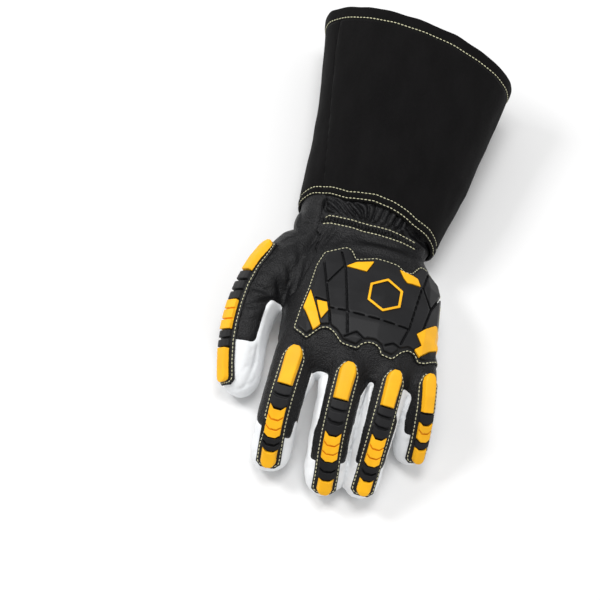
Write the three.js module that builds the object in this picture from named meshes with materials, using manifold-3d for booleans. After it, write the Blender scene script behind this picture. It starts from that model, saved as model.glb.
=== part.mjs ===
// A left-hand MIG welding glove with a flared gauntlet, lying palm down on a flat surface.
// Millimetres. +Z is up, the fingers point along -Y, the cuff along +Y and the thumb lies on the -X side.
// Every leather panel is a wall round one open hollow: cuff, palm, four fingers and thumb.
// Moulded guards sit on the back of the hand, the fingers and the thumb.
import * as THREE from "three";
import { mergeVertices } from "three/addons/utils/BufferGeometryUtils.js";
import Module from "manifold-3d";

const wasm = await Module();
wasm.setup();

// Driving dimensions
const HAND_LEATHER = 1.8; // wall of the goatskin hand
const CUFF_LEATHER = 2.4; // wall of the split-leather cuff
const GAP = 0.3; // between touching pieces
const PATCH_LEATHER = 1.2;
const PALM_FLAT = PATCH_LEATHER + GAP; // the palm lies flat on its patch
const FLOOR = 0; // the surface that the glove lies on
const CUFF_UNDERSIDE = 2; // the cuff lies on its pull loop
const CUFF_SIDES = 20;
const FAR = 400; // reaches past the whole glove
const WRIST_END = 33; // the hand ends this far up inside the cuff

const FLANGE_HEIGHT = 1.8; // sewn edge of a guard, above the leather
const RIB_HEIGHT = 4.4;
const PAD_HEIGHT = 5.6;
const CHEVRON_HEIGHT = 5;
const RIB_GAP = 1.6; // between the ribs along a digit
const CHEVRON_GAP = 1;
const CHEVRON_WEB = 0.7; // thickness between chevrons
const BADGE_RISE = 1.2;
const RIB_ROOT = 0.5; // how deep a rib is sunk in the flange
const SEAT_GAP = 0.4; // under the yellow pads of a guard
const LEATHER_GAP = 0.7; // under a finger guard, which is faceted across the curve of the leather

const COLOURS = {
  goatskin_black: { color: 0x1d1d20, roughness: 0.55 },
  goatskin_white: { color: 0xdfe0e2, roughness: 0.6 },
  goatskin_gold: { color: 0xd9920f, roughness: 0.55 },
  split_black: { color: 0x121213, roughness: 0.95 },
  rubber_black: { color: 0x2b2b2d, roughness: 0.5 },
  rubber_yellow: { color: 0xf7a81b, roughness: 0.45 },
};

// The hand from cuff to finger webs: left and right edge, underside and top of each section, and how
// squared-off it is (2 is a plain oval).
const PALM_SECTIONS = [
  { y: 34, left: -51, right: 52, low: 6, high: 61.5, square: 2 },
  { y: 16, left: -50.5, right: 48.5, low: 4.8, high: 58, square: 2.1 },
  { y: -2, left: -50, right: 45, low: 3.5, high: 49.5, square: 2.35 },
  { y: -14, left: -49.5, right: 52.5, low: 1.2, high: 51.5, square: 2.45 },
  { y: -34, left: -48.5, right: 59.5, low: 0.4, high: 57, square: 2.45 },
  { y: -56, left: -47.5, right: 60.5, low: 3, high: 60.5, square: 2.45 },
  { y: -78, left: -47.5, right: 60.5, low: 9, high: 62.5, square: 2.45 },
  { y: -92, left: -47, right: 60.5, low: 14, high: 61, square: 2.45 },
  { y: -103, left: -44, right: 58.5, low: 20, high: 57, square: 2.4 },
  { y: -110, left: -38, right: 55, low: 25, high: 53, square: 2.4 },
  { y: -116.5, left: -26, right: 46, low: 31, high: 47.5, square: 2.3 },
];

// Each digit: its centreline from inside the palm to the fingertip, half its width, and its depth above
// and below that line. roll turns its back outwards, in degrees.
const DIGITS = {
  index: {
    roll: -4,
    sections: [
      { x: -27.5, y: -70, z: 38, half: 12, above: 13, below: 13 },
      { x: -30.5, y: -96, z: 43.5, half: 15.5, above: 15.5, below: 15 },
      { x: -33, y: -120, z: 41, half: 15, above: 14, below: 14.5 },
      { x: -35, y: -142, z: 34, half: 14.5, above: 14, below: 14 },
      { x: -35.5, y: -157, z: 23.5, half: 14.5, above: 13.5, below: 14 },
      { x: -35, y: -168, z: 13.4, half: 14.5, above: 12.5, below: 13.5 },
    ],
  },
  middle: {
    roll: 3,
    sections: [
      { x: 6, y: -70, z: 38, half: 13, above: 13, below: 13 },
      { x: 6, y: -98, z: 45, half: 15.5, above: 15.5, below: 15 },
      { x: 4.3, y: -124, z: 42, half: 15, above: 14.5, below: 14.5 },
      { x: 3.3, y: -148, z: 34.5, half: 15, above: 14, below: 14 },
      { x: 3.5, y: -165, z: 23, half: 14.5, above: 13.5, below: 14 },
      { x: 4.5, y: -177.5, z: 13.2, half: 14, above: 12.5, below: 13.5 },
    ],
  },
  ring: {
    roll: 10,
    sections: [
      { x: 32, y: -70, z: 37, half: 12.5, above: 13, below: 13 },
      { x: 36, y: -98, z: 42.5, half: 14, above: 15, below: 15 },
      { x: 35, y: -122, z: 39.5, half: 13.3, above: 14, below: 14 },
      { x: 33.5, y: -145, z: 32, half: 13, above: 13.5, below: 14 },
      { x: 32, y: -162.5, z: 21.5, half: 12.7, above: 13, below: 13.5 },
      { x: 31, y: -175.5, z: 12.6, half: 12.3, above: 12.5, below: 13 },
    ],
  },
  pinky: {
    roll: 22,
    sections: [
      { x: 47, y: -68, z: 32, half: 10, above: 12, below: 12 },
      { x: 55.3, y: -95, z: 36.5, half: 12.2, above: 14, below: 13.5 },
      { x: 58.5, y: -114, z: 33, half: 12.5, above: 13, below: 13 },
      { x: 59.5, y: -129, z: 23, half: 12.3, above: 12.5, below: 13 },
      { x: 60, y: -142, z: 12.2, half: 12, above: 12, below: 12.5 },
    ],
  },
  thumb: {
    roll: -54,
    sections: [
      { x: -20, y: -2, z: 24, half: 13, above: 13, below: 14 },
      { x: -36.5, y: -12, z: 25, half: 18, above: 19, below: 19 },
      { x: -53.5, y: -29, z: 27, half: 20.5, above: 19.5, below: 20 },
      { x: -65, y: -52, z: 27, half: 18, above: 17, below: 18 },
      { x: -69.5, y: -77, z: 24, half: 15.5, above: 15.5, below: 15.5 },
      { x: -69.5, y: -99, z: 19, half: 15, above: 14.5, below: 15 },
      { x: -67, y: -117, z: 13.7, half: 14, above: 13, below: 14 },
    ],
  },
};
const DIGIT_SQUARENESS = 2.3;
const TIP_ANGLES = [30, 58, 80]; // degrees round the fingertip
const MAX_ROUND = 83; // the furthest round that anything on the tip reaches

// The cuff: centre, half width, top and skew of each section. Skew turns it about the upright, in degrees.
const CUFF_SECTIONS = [
  { x: -0.5, y: 13.5, half: 53.2, high: 61, skew: -9.2 },
  { x: 3, y: 39, half: 57, high: 67, skew: -8.6 },
  { x: 7.5, y: 68, half: 61.6, high: 73, skew: -10 },
  { x: 9.5, y: 98, half: 64.8, high: 78.5, skew: -10.4 },
  { x: 11.2, y: 130, half: 69.8, high: 84, skew: -10.6 },
  { x: 12, y: 165.5, half: 77.2, high: 90, skew: -11.8 },
];
const CUFF_LOW = -2; // lowest point of the round section, before it is flattened
const CUFF_SQUARENESS = 2;
const HEM_LENGTH = 9;
const HEM_THICKENING = 0.5;

// The guard on each digit: half its width, and where its parts end, in millimetres along the digit.
// Black ribs follow the knuckle pad and the bars; the bars of a finger are chevrons.
const GUARDS = {
  index: {
    half: 8.8, start: 33, pad: 35.5, padEnd: 61, bars: 73.5, barsEnd: 90, tip: 99.5, end: 116,
    ribs: 2, barCount: 3, tipRibs: 2,
  },
  middle: {
    half: 8.8, start: 37, pad: 39.5, padEnd: 64.5, bars: 83.5, barsEnd: 100, tip: 114, end: 128,
    ribs: 3, barCount: 3, tipRibs: 2,
  },
  ring: {
    half: 8.4, start: 34.5, pad: 37, padEnd: 61, bars: 79, barsEnd: 96.5, tip: 107.5, end: 122,
    ribs: 3, barCount: 3, tipRibs: 2,
  },
  pinky: {
    half: 8, start: 32, pad: 34.5, padEnd: 54.5, bars: 60.5, barsEnd: 71.5, tip: 77.5, end: 92,
    ribs: 1, barCount: 2, tipRibs: 1,
  },
  thumb: {
    half: 8.8, start: 40.5, pad: 43, padEnd: 66.5, bars: 87, barsEnd: 106, tip: 118.5, end: 144,
    ribs: 3, barCount: 3, tipRibs: 2,
  },
};
const PAD_INSET = 3.1; // from the edge of the guard to the side of its pads
const PAD_CROWN = 0.74; // width of a pad's flat top as a share of its foot
const PAD_PLACES = [-1, -0.45, 0.45, 1]; // corners across a pad, as shares of half its width
const KNUCKLE_FLARE = 0.15; // how much wider a knuckle pad is at its upper end
const RIB_REACH = 0.5; // from the side of the pads to the ends of the ribs
const VEE = 4.4; // how far the point of a chevron would reach ahead of its ends, if it weren't blunt
const ROUND_ANGLES = { flange: [35, 90], pad: [25, 55, 90] }; // degrees round a rounded end
const TIP_ROUND = 0.5; // length of a guard's rounded tip as a share of half its width
const SPACING = { flange: 13, pad: 9, tip: 8 }; // longest step along a digit

// The guard over the back of the hand, in plan. It runs down the little finger's side to BACK_GUARD_LOW.
const BACK_GUARD_LOW = 35;
const BACK_GUARD_EDGE = [
  [-37, -91], [-28, -97], [-23, -92], [-19, -88], [-14, -87], [-9, -90],
  [-3, -96], [8, -98], [11, -94], [15, -92], [20, -92],
  [24, -94], [26, -98], [34, -99], [39, -93], [44, -90], [49, -91],
  [52, -95], [58, -94], [66.5, -88], [66.5, -30], [60, -24], [46, -16],
  [42, -17], [37, -27], [32, -28], [26, -23],
  [10, -22], [-4, -27], [-8, -19], [-12, -17], [-26, -24],
  [-30, -36], [-32, -56], [-35, -74],
];
const BACK_GUARD_GROOVES = [
  [[-27, -30], [-13, -86]],
  [[-15, -23], [-10, -38], [0, -90]],
  [[-21, -52], [-11, -35]],
  [[-15, -73], [42, -76]],
  [[-27, -66], [-18, -68]],
  [[46, -39], [42, -75], [38, -89]],
  [[49, -22], [47, -37], [55, -52], [52, -71]],
  [[62, -32], [55, -52]],
  [[-2, -93], [6, -88], [12, -92]],
  [[27, -93], [33, -90], [38, -92]],
];
const GROOVE_WIDTH = 1.4;
const PLATE_INSET = 1.8; // from BACK_GUARD_EDGE to the raised plates
const FLANGE_OUTSET = 1; // from BACK_GUARD_EDGE to the sewn edge
const BACK_GUARD_ACCENTS = {
  accent_thumb_side: [[-32, -58], [-20, -87], [-24, -92], [-34, -74]],
  accent_thumb_inner: [[-25.8, -68.2], [-18.5, -69], [-16.5, -75.5], [-20.2, -82.5], [-22.6, -77.5]],
  accent_wrist: [[-10, -36], [-3.5, -30.5], [9, -26.5], [5, -37]],
  accent_wrist_outer: [[28, -28], [42, -31], [45, -37], [35, -38], [32, -35]],
  accent_knuckle: [
    [48, -77], [61, -61], [70, -64], [70, -76], [59, -85], [52.5, -93], [48.5, -89], [53, -84],
  ],
};
const BADGE = { x: 21, y: -54, width: 24, height: 29, band: 1.9 }; // a plain six-sided ring

// The gold patch under the palm, in plan up to PATCH_TOP, with a slot open towards the little finger.
const PATCH_TOP = 26;
const PATCH_EDGE = [
  [2, 1], [-6, -6], [-12, -17], [-11, -44], [-14, -52],
  [-21, -60], [-33, -68], [-43, -76], [-42, -82], [-37, -87], [-30, -89],
  [15, -88], [46, -83], [50, -76], [45, -66], [35, -62], [0, -65],
  [-5, -63], [-5, -59], [0, -56], [30, -55], [27, -47],
  [24, -38], [28, -16], [26, -8], [20, -1], [12, 2],
];

// The seams between the panels of the hand.
// Thumb seam in plan: along the back of the hand and along the palm, each at its height.
const THUMB_SEAM = {
  backHeight: 68,
  palmHeight: -8,
  back: [[-33, 40], [-35, -4], [-38, -20], [-43, -40], [-47, -54], [-49.5, -80], [-60, -95], [-60, -150]],
  palm: [[-46, 40], [-38, -3], [-26, -13], [-16, -32], [-25, -53], [-49.5, -80], [-46, -95], [-46, -150]],
};
// Side seams of the hand: their height on the thumb side and on the little finger's side.
const SIDE_SEAM_X = { thumbSide: -70, outerSide: 75 };
const SIDE_SEAMS = [
  { y: 60, thumbSide: 20, outerSide: 28 },
  { y: -50, thumbSide: 22, outerSide: 28 },
  { y: -85, thumbSide: 30, outerSide: 31 },
  { y: -105, thumbSide: 43, outerSide: 36 },
  { y: -113, thumbSide: 43.5, outerSide: 35 },
];
// Black back of each digit: how far it reaches towards either side, in degrees from the middle of the
// back, the distance at which the white tip begins, and how much further that is on the outer side.
const DIGIT_BACKS = {
  index: { thumbSide: 95, outerSide: 60, end: 89, slant: 11 },
  middle: { thumbSide: 60, outerSide: 60, end: 104, slant: 0 },
  ring: { thumbSide: 60, outerSide: 60, end: 100, slant: 0 },
  pinky: { thumbSide: 60, outerSide: 92, end: 71, slant: 0 },
  thumb: { thumbSide: 95, outerSide: 84, end: 112, slant: 0 },
};

const FINGERS = ["index", "middle", "ring", "pinky"];
const FINGER_ROOT = -119.5; // the panels of a finger begin here
const FINGER_MARGIN = 0.15; // round a finger's skin, for telling its leather from its neighbours'
const DIGIT_BACK_REACH = { finger: 18.5, thumb: 60 };
const SPREAD = 4; // degrees that a black back widens for each millimetre that it is grown
const THUMB_BASE_END = -12; // the thumb is black all round from here to the cuff
const THUMB_WEB = { end: -63, low: 26 }; // and black above this height as far as its crotch
// The cuff's edge over the back of the wrist, in plan.
const CUFF_WRIST_EDGE = [
  [-80, 12], [-52, 23], [-45, 25], [-32, 23], [-19, 19.3], [0, 19.8], [12, 18], [25, 13.7],
  [31, 10.6], [42, 9], [80, -5],
];
const CUFF_OVERSHOOT = 0.1; // of the cuff's hollow past either end, as a share of its length
// Seams of the cuff: in plan where the back panel ends on the thumb side, and its height on the other.
const CUFF_SEAM = [[-34, -10], [-38, 29], [-50, 146], [-53, 200]];
const CUFF_OUTER_SEAM = 32;

// The pull loop folds round the hem: its ends lie under the cuff and inside it.
const LOOP = { width: 26, leather: 1.3, past: 14, outside: 46, inside: 30, x: 8, clearance: 0.35 };

const BAND_LIMIT = 0.98; // of a digit's half width, the furthest that anything on its back reaches

const radians = THREE.MathUtils.degToRad;
const RIGHT_ANGLE = Math.PI / 2;

// Closed solids from rings of points

function solidOf(geometry) {
  const bare = geometry.clone();
  for (const name of Object.keys(bare.attributes)) {
    if (name !== "position") bare.deleteAttribute(name);
  }
  const merged = mergeVertices(bare);
  return new wasm.Manifold(
    new wasm.Mesh({
      numProp: 3,
      vertProperties: new Float32Array(merged.attributes.position.array),
      triVerts: new Uint32Array(merged.index.array),
    }),
  );
}

function geometryOf(solid) {
  const mesh = solid.getMesh();
  const geometry = new THREE.BufferGeometry();
  geometry.setAttribute("position", new THREE.BufferAttribute(mesh.vertProperties, 3));
  geometry.setIndex(new THREE.BufferAttribute(mesh.triVerts, 1));
  return geometry;
}

function signedVolume(points, faces) {
  return faces.reduce((sum, [a, b, c]) => {
    return sum + points[a].dot(points[b].clone().cross(points[c])) / 6;
  }, 0);
}

// An end of a skin, as triangles that fan out from the ring's first point.
const fan = (sides) => Array.from({ length: sides - 2 }, (_, i) => [0, i + 1, i + 2]);

// An end as strips between a ring's first half and its second half, which runs back beside it.
const strips = (sides) =>
  Array.from({ length: sides / 2 - 1 }, (_, i) => [
    [i, i + 1, sides - 1 - i],
    [i + 1, sides - 2 - i, sides - 1 - i],
  ]).flat();

// A closed skin over rings that all have the same number of points.
function loft(rings, end = fan) {
  const sides = rings[0].length;
  const points = rings.flat();
  const faces = [];
  for (let r = 0; r < rings.length - 1; r++) {
    for (let i = 0; i < sides; i++) {
      const a = r * sides + i;
      const b = r * sides + ((i + 1) % sides);
      faces.push([a, b, a + sides], [b, b + sides, a + sides]);
    }
  }
  const last = (rings.length - 1) * sides;
  for (const [a, b, c] of end(sides)) {
    faces.push([c, b, a], [last + a, last + b, last + c]);
  }
  if (signedVolume(points, faces) < 0) faces.forEach((f) => f.reverse());
  const geometry = new THREE.BufferGeometry().setFromPoints(points);
  geometry.setIndex(faces.flat());
  return solidOf(geometry);
}

// One point of a squared-off oval, for an angle in radians measured from its right-hand side.
function ovalPoint(angle, half, above, below, squareness) {
  const c = Math.cos(angle);
  const s = Math.sin(angle);
  const across = half * Math.sign(c) * Math.abs(c) ** (2 / squareness);
  const up = (s > 0 ? above : below) * Math.sign(s) * Math.abs(s) ** (2 / squareness);
  return { across, up };
}

function ovalRing(sides, place, half, above, below, squareness) {
  return Array.from({ length: sides }, (_, i) => {
    const { across, up } = ovalPoint((2 * Math.PI * i) / sides, half, above, below, squareness);
    return place(across, up);
  });
}

function block(x0, x1, y0, y1, z0, z1) {
  const box = new THREE.BoxGeometry(x1 - x0, y1 - y0, z1 - z0);
  box.translate((x0 + x1) / 2, (y0 + y1) / 2, (z0 + z1) / 2);
  return solidOf(box);
}

const above = (z) => block(-FAR, FAR, -FAR, FAR, z, FAR);

function joined(solids) {
  return solids.reduce((whole, next) => whole.add(next));
}

// An outline of [x, y] points in plan, as an upright prism.
function prism(outline, low = -FAR, high = FAR) {
  const shape = new THREE.Shape(outline.map(([x, y]) => new THREE.Vector2(x, y)));
  const body = new THREE.ExtrudeGeometry(shape, { depth: high - low, bevelEnabled: false });
  body.translate(0, 0, low);
  return solidOf(body);
}

// The hand

// A smooth digit: a frame and a size at any distance along it, on past its end round the fingertip.
function digitOf({ roll, sections }) {
  const line = new THREE.CatmullRomCurve3(sections.map((s) => new THREE.Vector3(s.x, s.y, s.z)));
  const girth = new THREE.CatmullRomCurve3(
    sections.map((s) => new THREE.Vector3(s.half, s.above, s.below)),
  );
  const back = new THREE.Vector3(Math.sin(radians(roll)), 0, Math.cos(radians(roll)));
  const length = line.getLength();
  function at(distance) {
    const t = line.getUtoTmapping(Math.min(Math.max(distance, 0) / length, 1));
    const along = line.getTangent(t);
    const up = back.clone().addScaledVector(along, -back.dot(along)).normalize();
    const size = girth.getPoint(t);
    const round = Math.min(Math.max(distance - length, 0) / size.x, radians(MAX_ROUND));
    return {
      centre: line.getPoint(t),
      along,
      up,
      across: along.clone().cross(up),
      half: size.x,
      above: size.y,
      below: size.z,
      round,
    };
  }
  return { at, length };
}

// A point of a digit's frame, height above the leather on top of the section's own size.
function inFrame(frame, across, up, height) {
  return frame.centre
    .clone()
    .addScaledVector(frame.along, (frame.half + height) * Math.sin(frame.round))
    .addScaledVector(frame.across, across)
    .addScaledVector(frame.up, up);
}

// The digit as a closed solid, grown outwards by grow, with a rounded tip.
function digitSolid(digit, grow, sides, steps) {
  const body = Array.from({ length: steps + 1 }, (_, i) => digit.at((digit.length * i) / steps));
  const tipHalf = digit.at(digit.length).half;
  const tip = TIP_ANGLES.map((a) => digit.at(digit.length + radians(a) * tipHalf));
  return loft(
    [...body, ...tip].map((frame) => {
      const scale = Math.cos(frame.round);
      return ovalRing(
        sides,
        (across, up) => inFrame(frame, across * scale, up * scale, grow),
        frame.half + grow,
        frame.above + grow,
        frame.below + grow,
        DIGIT_SQUARENESS,
      );
    }),
  );
}

function palmSolid(grow, sides) {
  const rings = PALM_SECTIONS.map((s, i) => {
    const centre = (s.left + s.right) / 2;
    const middle = (s.low + s.high) / 2;
    const half = (s.right - s.left) / 2 + grow;
    const depth = (s.high - s.low) / 2 + grow;
    // the last section closes the webs, so it moves outwards with the skin
    const y = i === PALM_SECTIONS.length - 1 ? s.y - grow : s.y;
    const place = (across, up) => new THREE.Vector3(centre + across, y, middle + up);
    return ovalRing(sides, place, half, depth, depth, s.square);
  });
  return loft(rings);
}

const digits = Object.fromEntries(Object.entries(DIGITS).map(([name, d]) => [name, digitOf(d)]));

// The whole hand grown outwards by grow, flattened where it rests.
function handSolid(grow, detail) {
  const palm = palmSolid(grow, detail.palmSides).intersect(above(PALM_FLAT - grow));
  const fingers = Object.values(digits).map((digit) => {
    return digitSolid(digit, grow, detail.digitSides, detail.steps).intersect(above(FLOOR - grow));
  });
  return joined([palm, ...fingers]);
}

// The cuff

function cuffSolid(grow, from, to) {
  const columns = (...names) =>
    new THREE.CatmullRomCurve3(
      CUFF_SECTIONS.map((s) => new THREE.Vector3(s[names[0]], s[names[1]], s[names[2]])),
    );
  const centres = columns("x", "y", "skew");
  const sizes = columns("half", "high", "skew");
  const spans = CUFF_SECTIONS.length - 1;
  const stops = Array.from({ length: spans + 1 }, (_, i) => i / spans);
  const rings = [from, ...stops.filter((t) => t > from && t < to), to].map((t) => {
    const inside = Math.min(Math.max(t, 0), 1);
    const beyond = (t - inside) * CUFF_SECTIONS.at(-1).y;
    const { x, y, z: skew } = centres.getPoint(inside);
    const { x: half, y: high } = sizes.getPoint(inside);
    const middle = (high + CUFF_LOW) / 2;
    const depth = (high - CUFF_LOW) / 2 + grow;
    const place = (across, up) =>
      new THREE.Vector3(
        x + across * Math.cos(radians(skew)),
        y + across * Math.sin(radians(skew)) + beyond,
        middle + up,
      );
    return ovalRing(CUFF_SIDES, place, half + grow, depth, depth, CUFF_SQUARENESS);
  });
  return loft(rings);
}

// Panels

const OUTER = { palmSides: 18, digitSides: 12, steps: 6 };
const INNER = { palmSides: 14, digitSides: 8, steps: 4 };

// A wedge over the back of a digit, grown by grow.
function wedge(digit, { thumbSide, outerSide, end, slant }, reach, grow) {
  const spread = grow * SPREAD;
  const shares = [0, 1 / 3, 2 / 3, 1];
  const radius = reach + 3 * grow;
  return loft(
    [0, 0.25, 0.5, 0.75, 1].map((part) => {
      const stop = part * end + (part === 1 ? grow : 0);
      const rim = shares.map((share) => {
        const a = radians(THREE.MathUtils.lerp(-outerSide - spread, thumbSide + spread, share));
        const frame = digit.at(stop + (part === 1 ? slant * (0.5 - share) : 0));
        return inFrame(frame, radius * Math.sin(a), radius * Math.cos(a), 0);
      });
      return [digit.at(stop).centre, ...rim];
    }),
  );
}

function backOfPalm(grow) {
  return loft(
    SIDE_SEAMS.map(({ y, thumbSide, outerSide }, i) => {
      const at = i === SIDE_SEAMS.length - 1 ? y - grow : y;
      return [
        new THREE.Vector3(SIDE_SEAM_X.thumbSide, at, thumbSide - grow),
        new THREE.Vector3(SIDE_SEAM_X.outerSide, at, outerSide - grow),
        new THREE.Vector3(SIDE_SEAM_X.outerSide, at, FAR),
        new THREE.Vector3(SIDE_SEAM_X.thumbSide, at, FAR),
      ];
    }),
  );
}

function thumbRegion(grow) {
  const ring = (seam, z) => {
    const moved = seam.map(([x, y]) => [x + grow, y]);
    const corners = [[-FAR, seam[0][1]], ...moved, [-FAR, seam.at(-1)[1]]];
    return corners.map(([x, y]) => new THREE.Vector3(x, y, z));
  };
  const { palm, palmHeight, back, backHeight } = THUMB_SEAM;
  return loft([ring(palm, palmHeight), ring(back, backHeight)]);
}

function backOfHand(grow) {
  return joined([
    backOfPalm(grow),
    ...FINGERS.map((name) => wedge(digits[name], DIGIT_BACKS[name], DIGIT_BACK_REACH.finger, grow)),
  ]);
}

function backOfThumb(grow) {
  const base = block(-FAR, FAR, THUMB_BASE_END - grow, FAR, -FAR, FAR);
  const web = block(-FAR, FAR, THUMB_WEB.end - grow, FAR, THUMB_WEB.low - grow, FAR);
  return joined([wedge(digits.thumb, DIGIT_BACKS.thumb, DIGIT_BACK_REACH.thumb, grow), base, web]);
}

const outside = handSolid(0, OUTER);
const inside = handSolid(-HAND_LEATHER, INNER);
const wrist = block(-FAR, FAR, WRIST_END, FAR, -FAR, FAR);
const leather = outside.subtract(inside).subtract(wrist);
const thumbLeather = leather.intersect(thumbRegion(0));
const handLeather = leather.subtract(thumbRegion(GAP));
const handBack = handLeather.intersect(backOfHand(0));
const handPalm = handLeather.subtract(backOfHand(GAP));

const beyondRoots = (grow) => block(-FAR, FAR, -FAR, FINGER_ROOT + grow, -FAR, FAR);

// The stretch of a panel that covers one finger, clear of the fingers before it.
function onFinger(panel, name) {
  const skin = (finger, grow) => digitSolid(digits[finger], grow, OUTER.digitSides, OUTER.steps);
  const before = FINGERS.slice(0, FINGERS.indexOf(name));
  const whole = panel.intersect(beyondRoots(0)).intersect(skin(name, FINGER_MARGIN));
  return before.reduce((piece, other) => piece.subtract(skin(other, FINGER_MARGIN + GAP)), whole);
}

// A length of the cuff's tube, between two shares of the way along it.
function cuffTube(grow, leatherThickness, from, to) {
  const hollow = cuffSolid(grow - leatherThickness, from - CUFF_OVERSHOOT, to + CUFF_OVERSHOOT);
  return cuffSolid(grow, from, to)
    .intersect(above(CUFF_UNDERSIDE))
    .subtract(hollow.intersect(above(CUFF_UNDERSIDE + leatherThickness)));
}

function cuffBackRegion(grow) {
  const seam = CUFF_SEAM.map(([x, y]) => [x - grow, y]);
  const far = [CUFF_SEAM.at(-1), CUFF_SEAM[0]].map(([, y]) => [FAR, y]);
  return prism([...seam, ...far], CUFF_OUTER_SEAM - grow, FAR);
}

const spanLength = CUFF_SECTIONS.at(-1).y - CUFF_SECTIONS.at(-2).y;
const shareOfCuff = (length) => length / spanLength / (CUFF_SECTIONS.length - 1);
const hemStart = 1 - shareOfCuff(HEM_LENGTH);
const cuffEnd = hemStart - shareOfCuff(GAP);
const edgeEnds = [CUFF_WRIST_EDGE[0], CUFF_WRIST_EDGE.at(-1)].map(([x]) => [x, -FAR]);
const wristOpening = prism(
  [edgeEnds[0], ...CUFF_WRIST_EDGE, edgeEnds[1]],
  CUFF_OUTER_SEAM,
  FAR,
);
const cuffLeather = cuffTube(0, CUFF_LEATHER, 0, cuffEnd)
  .subtract(wristOpening)
  .subtract(handSolid(GAP, OUTER));
const hem = cuffTube(HEM_THICKENING, CUFF_LEATHER + 2 * HEM_THICKENING, hemStart, 1);

function pullLoop() {
  const { width, leather: t, past, outside: reach, inside: back, x, clearance } = LOOP;
  const turn = (CUFF_UNDERSIDE + CUFF_LEATHER + 2 * HEM_THICKENING + clearance + t) / 2;
  const profile = new THREE.Shape();
  profile.moveTo(-reach, 0);
  profile.lineTo(past - turn, 0);
  profile.absarc(past - turn, turn, turn, -RIGHT_ANGLE, RIGHT_ANGLE, false);
  profile.lineTo(-back, 2 * turn);
  profile.lineTo(-back, 2 * turn - t);
  profile.lineTo(past - turn, 2 * turn - t);
  profile.absarc(past - turn, turn, turn - t, RIGHT_ANGLE, -RIGHT_ANGLE, true);
  profile.lineTo(-reach, t);
  const strip = new THREE.ExtrudeGeometry(profile, {
    depth: width,
    bevelEnabled: false,
    curveSegments: 6,
  });
  strip.translate(0, 0, -width / 2);
  strip.rotateX(RIGHT_ANGLE);
  strip.rotateZ(RIGHT_ANGLE);
  const { x: hemX, y: hemY, skew } = CUFF_SECTIONS.at(-1);
  strip.rotateZ(radians(skew));
  strip.translate(x, hemY + (x - hemX) * Math.tan(radians(skew)), 0);
  return solidOf(strip);
}

// Guards

// A band along the back of a digit, as wide as each ring says and between two heights above the leather.
// fractions places its points across half its width. A ring's vee carries its middle ahead towards the
// tip, and its crown narrows its top.
function band(digit, rings, fractions) {
  return loft(
    rings.map(({ at, half, low, high, vee = 0, crown = 1 }) => {
      const row = (height, places) =>
        places.map((f) => {
          const frame = digit.at(at + vee * (1 - Math.abs(f)));
          const scale = Math.cos(frame.round);
          const across = f * half;
          const reach = Math.min(Math.abs(across) / ((frame.half + height) * scale), BAND_LIMIT);
          const up = (frame.above + height) * scale;
          const drop = (1 - reach ** DIGIT_SQUARENESS) ** (1 / DIGIT_SQUARENESS);
          return inFrame(frame, across, up * drop, height);
        });
      const top = fractions.map((f) => f * crown);
      return [...row(high, top), ...row(low, [...fractions].reverse())];
    }),
    strips,
  );
}

// Stops from one distance to another, each with its half width. roundFrom and roundTo are the lengths of
// the rounded ends as shares of half the width.
function stopsAlong({ from, to, half, roundFrom, roundTo, spacing, angles = ROUND_ANGLES.pad }) {
  const curve = (share) =>
    angles.map(radians).map((a) => [share * half * (1 - Math.cos(a)), Math.sin(a)]);
  const start = roundFrom ? curve(roundFrom).map(([inset, w]) => [from + inset, w]) : [[from, 1]];
  const end = roundTo ? curve(roundTo).map(([inset, w]) => [to - inset, w]).reverse() : [[to, 1]];
  const first = start.at(-1)[0];
  const length = end[0][0] - first;
  const spans = Math.max(Math.round(length / spacing), 1);
  const middle = Array.from({ length: spans - 1 }, (_, i) => [first + (length * (i + 1)) / spans, 1]);
  return [...start, ...middle, ...end].map(([at, width]) => ({ at, half: half * width }));
}

const withHeights = (rings, low, high) => rings.map((ring) => ({ ...ring, low, high }));

// The start and end of each of count bars that fill a stretch, with a gap between them.
function barsBetween(from, to, count, gap) {
  const pitch = (to - from + gap) / count;
  return Array.from({ length: count }, (_, i) => [from + i * pitch, from + (i + 1) * pitch - gap]);
}

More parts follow.
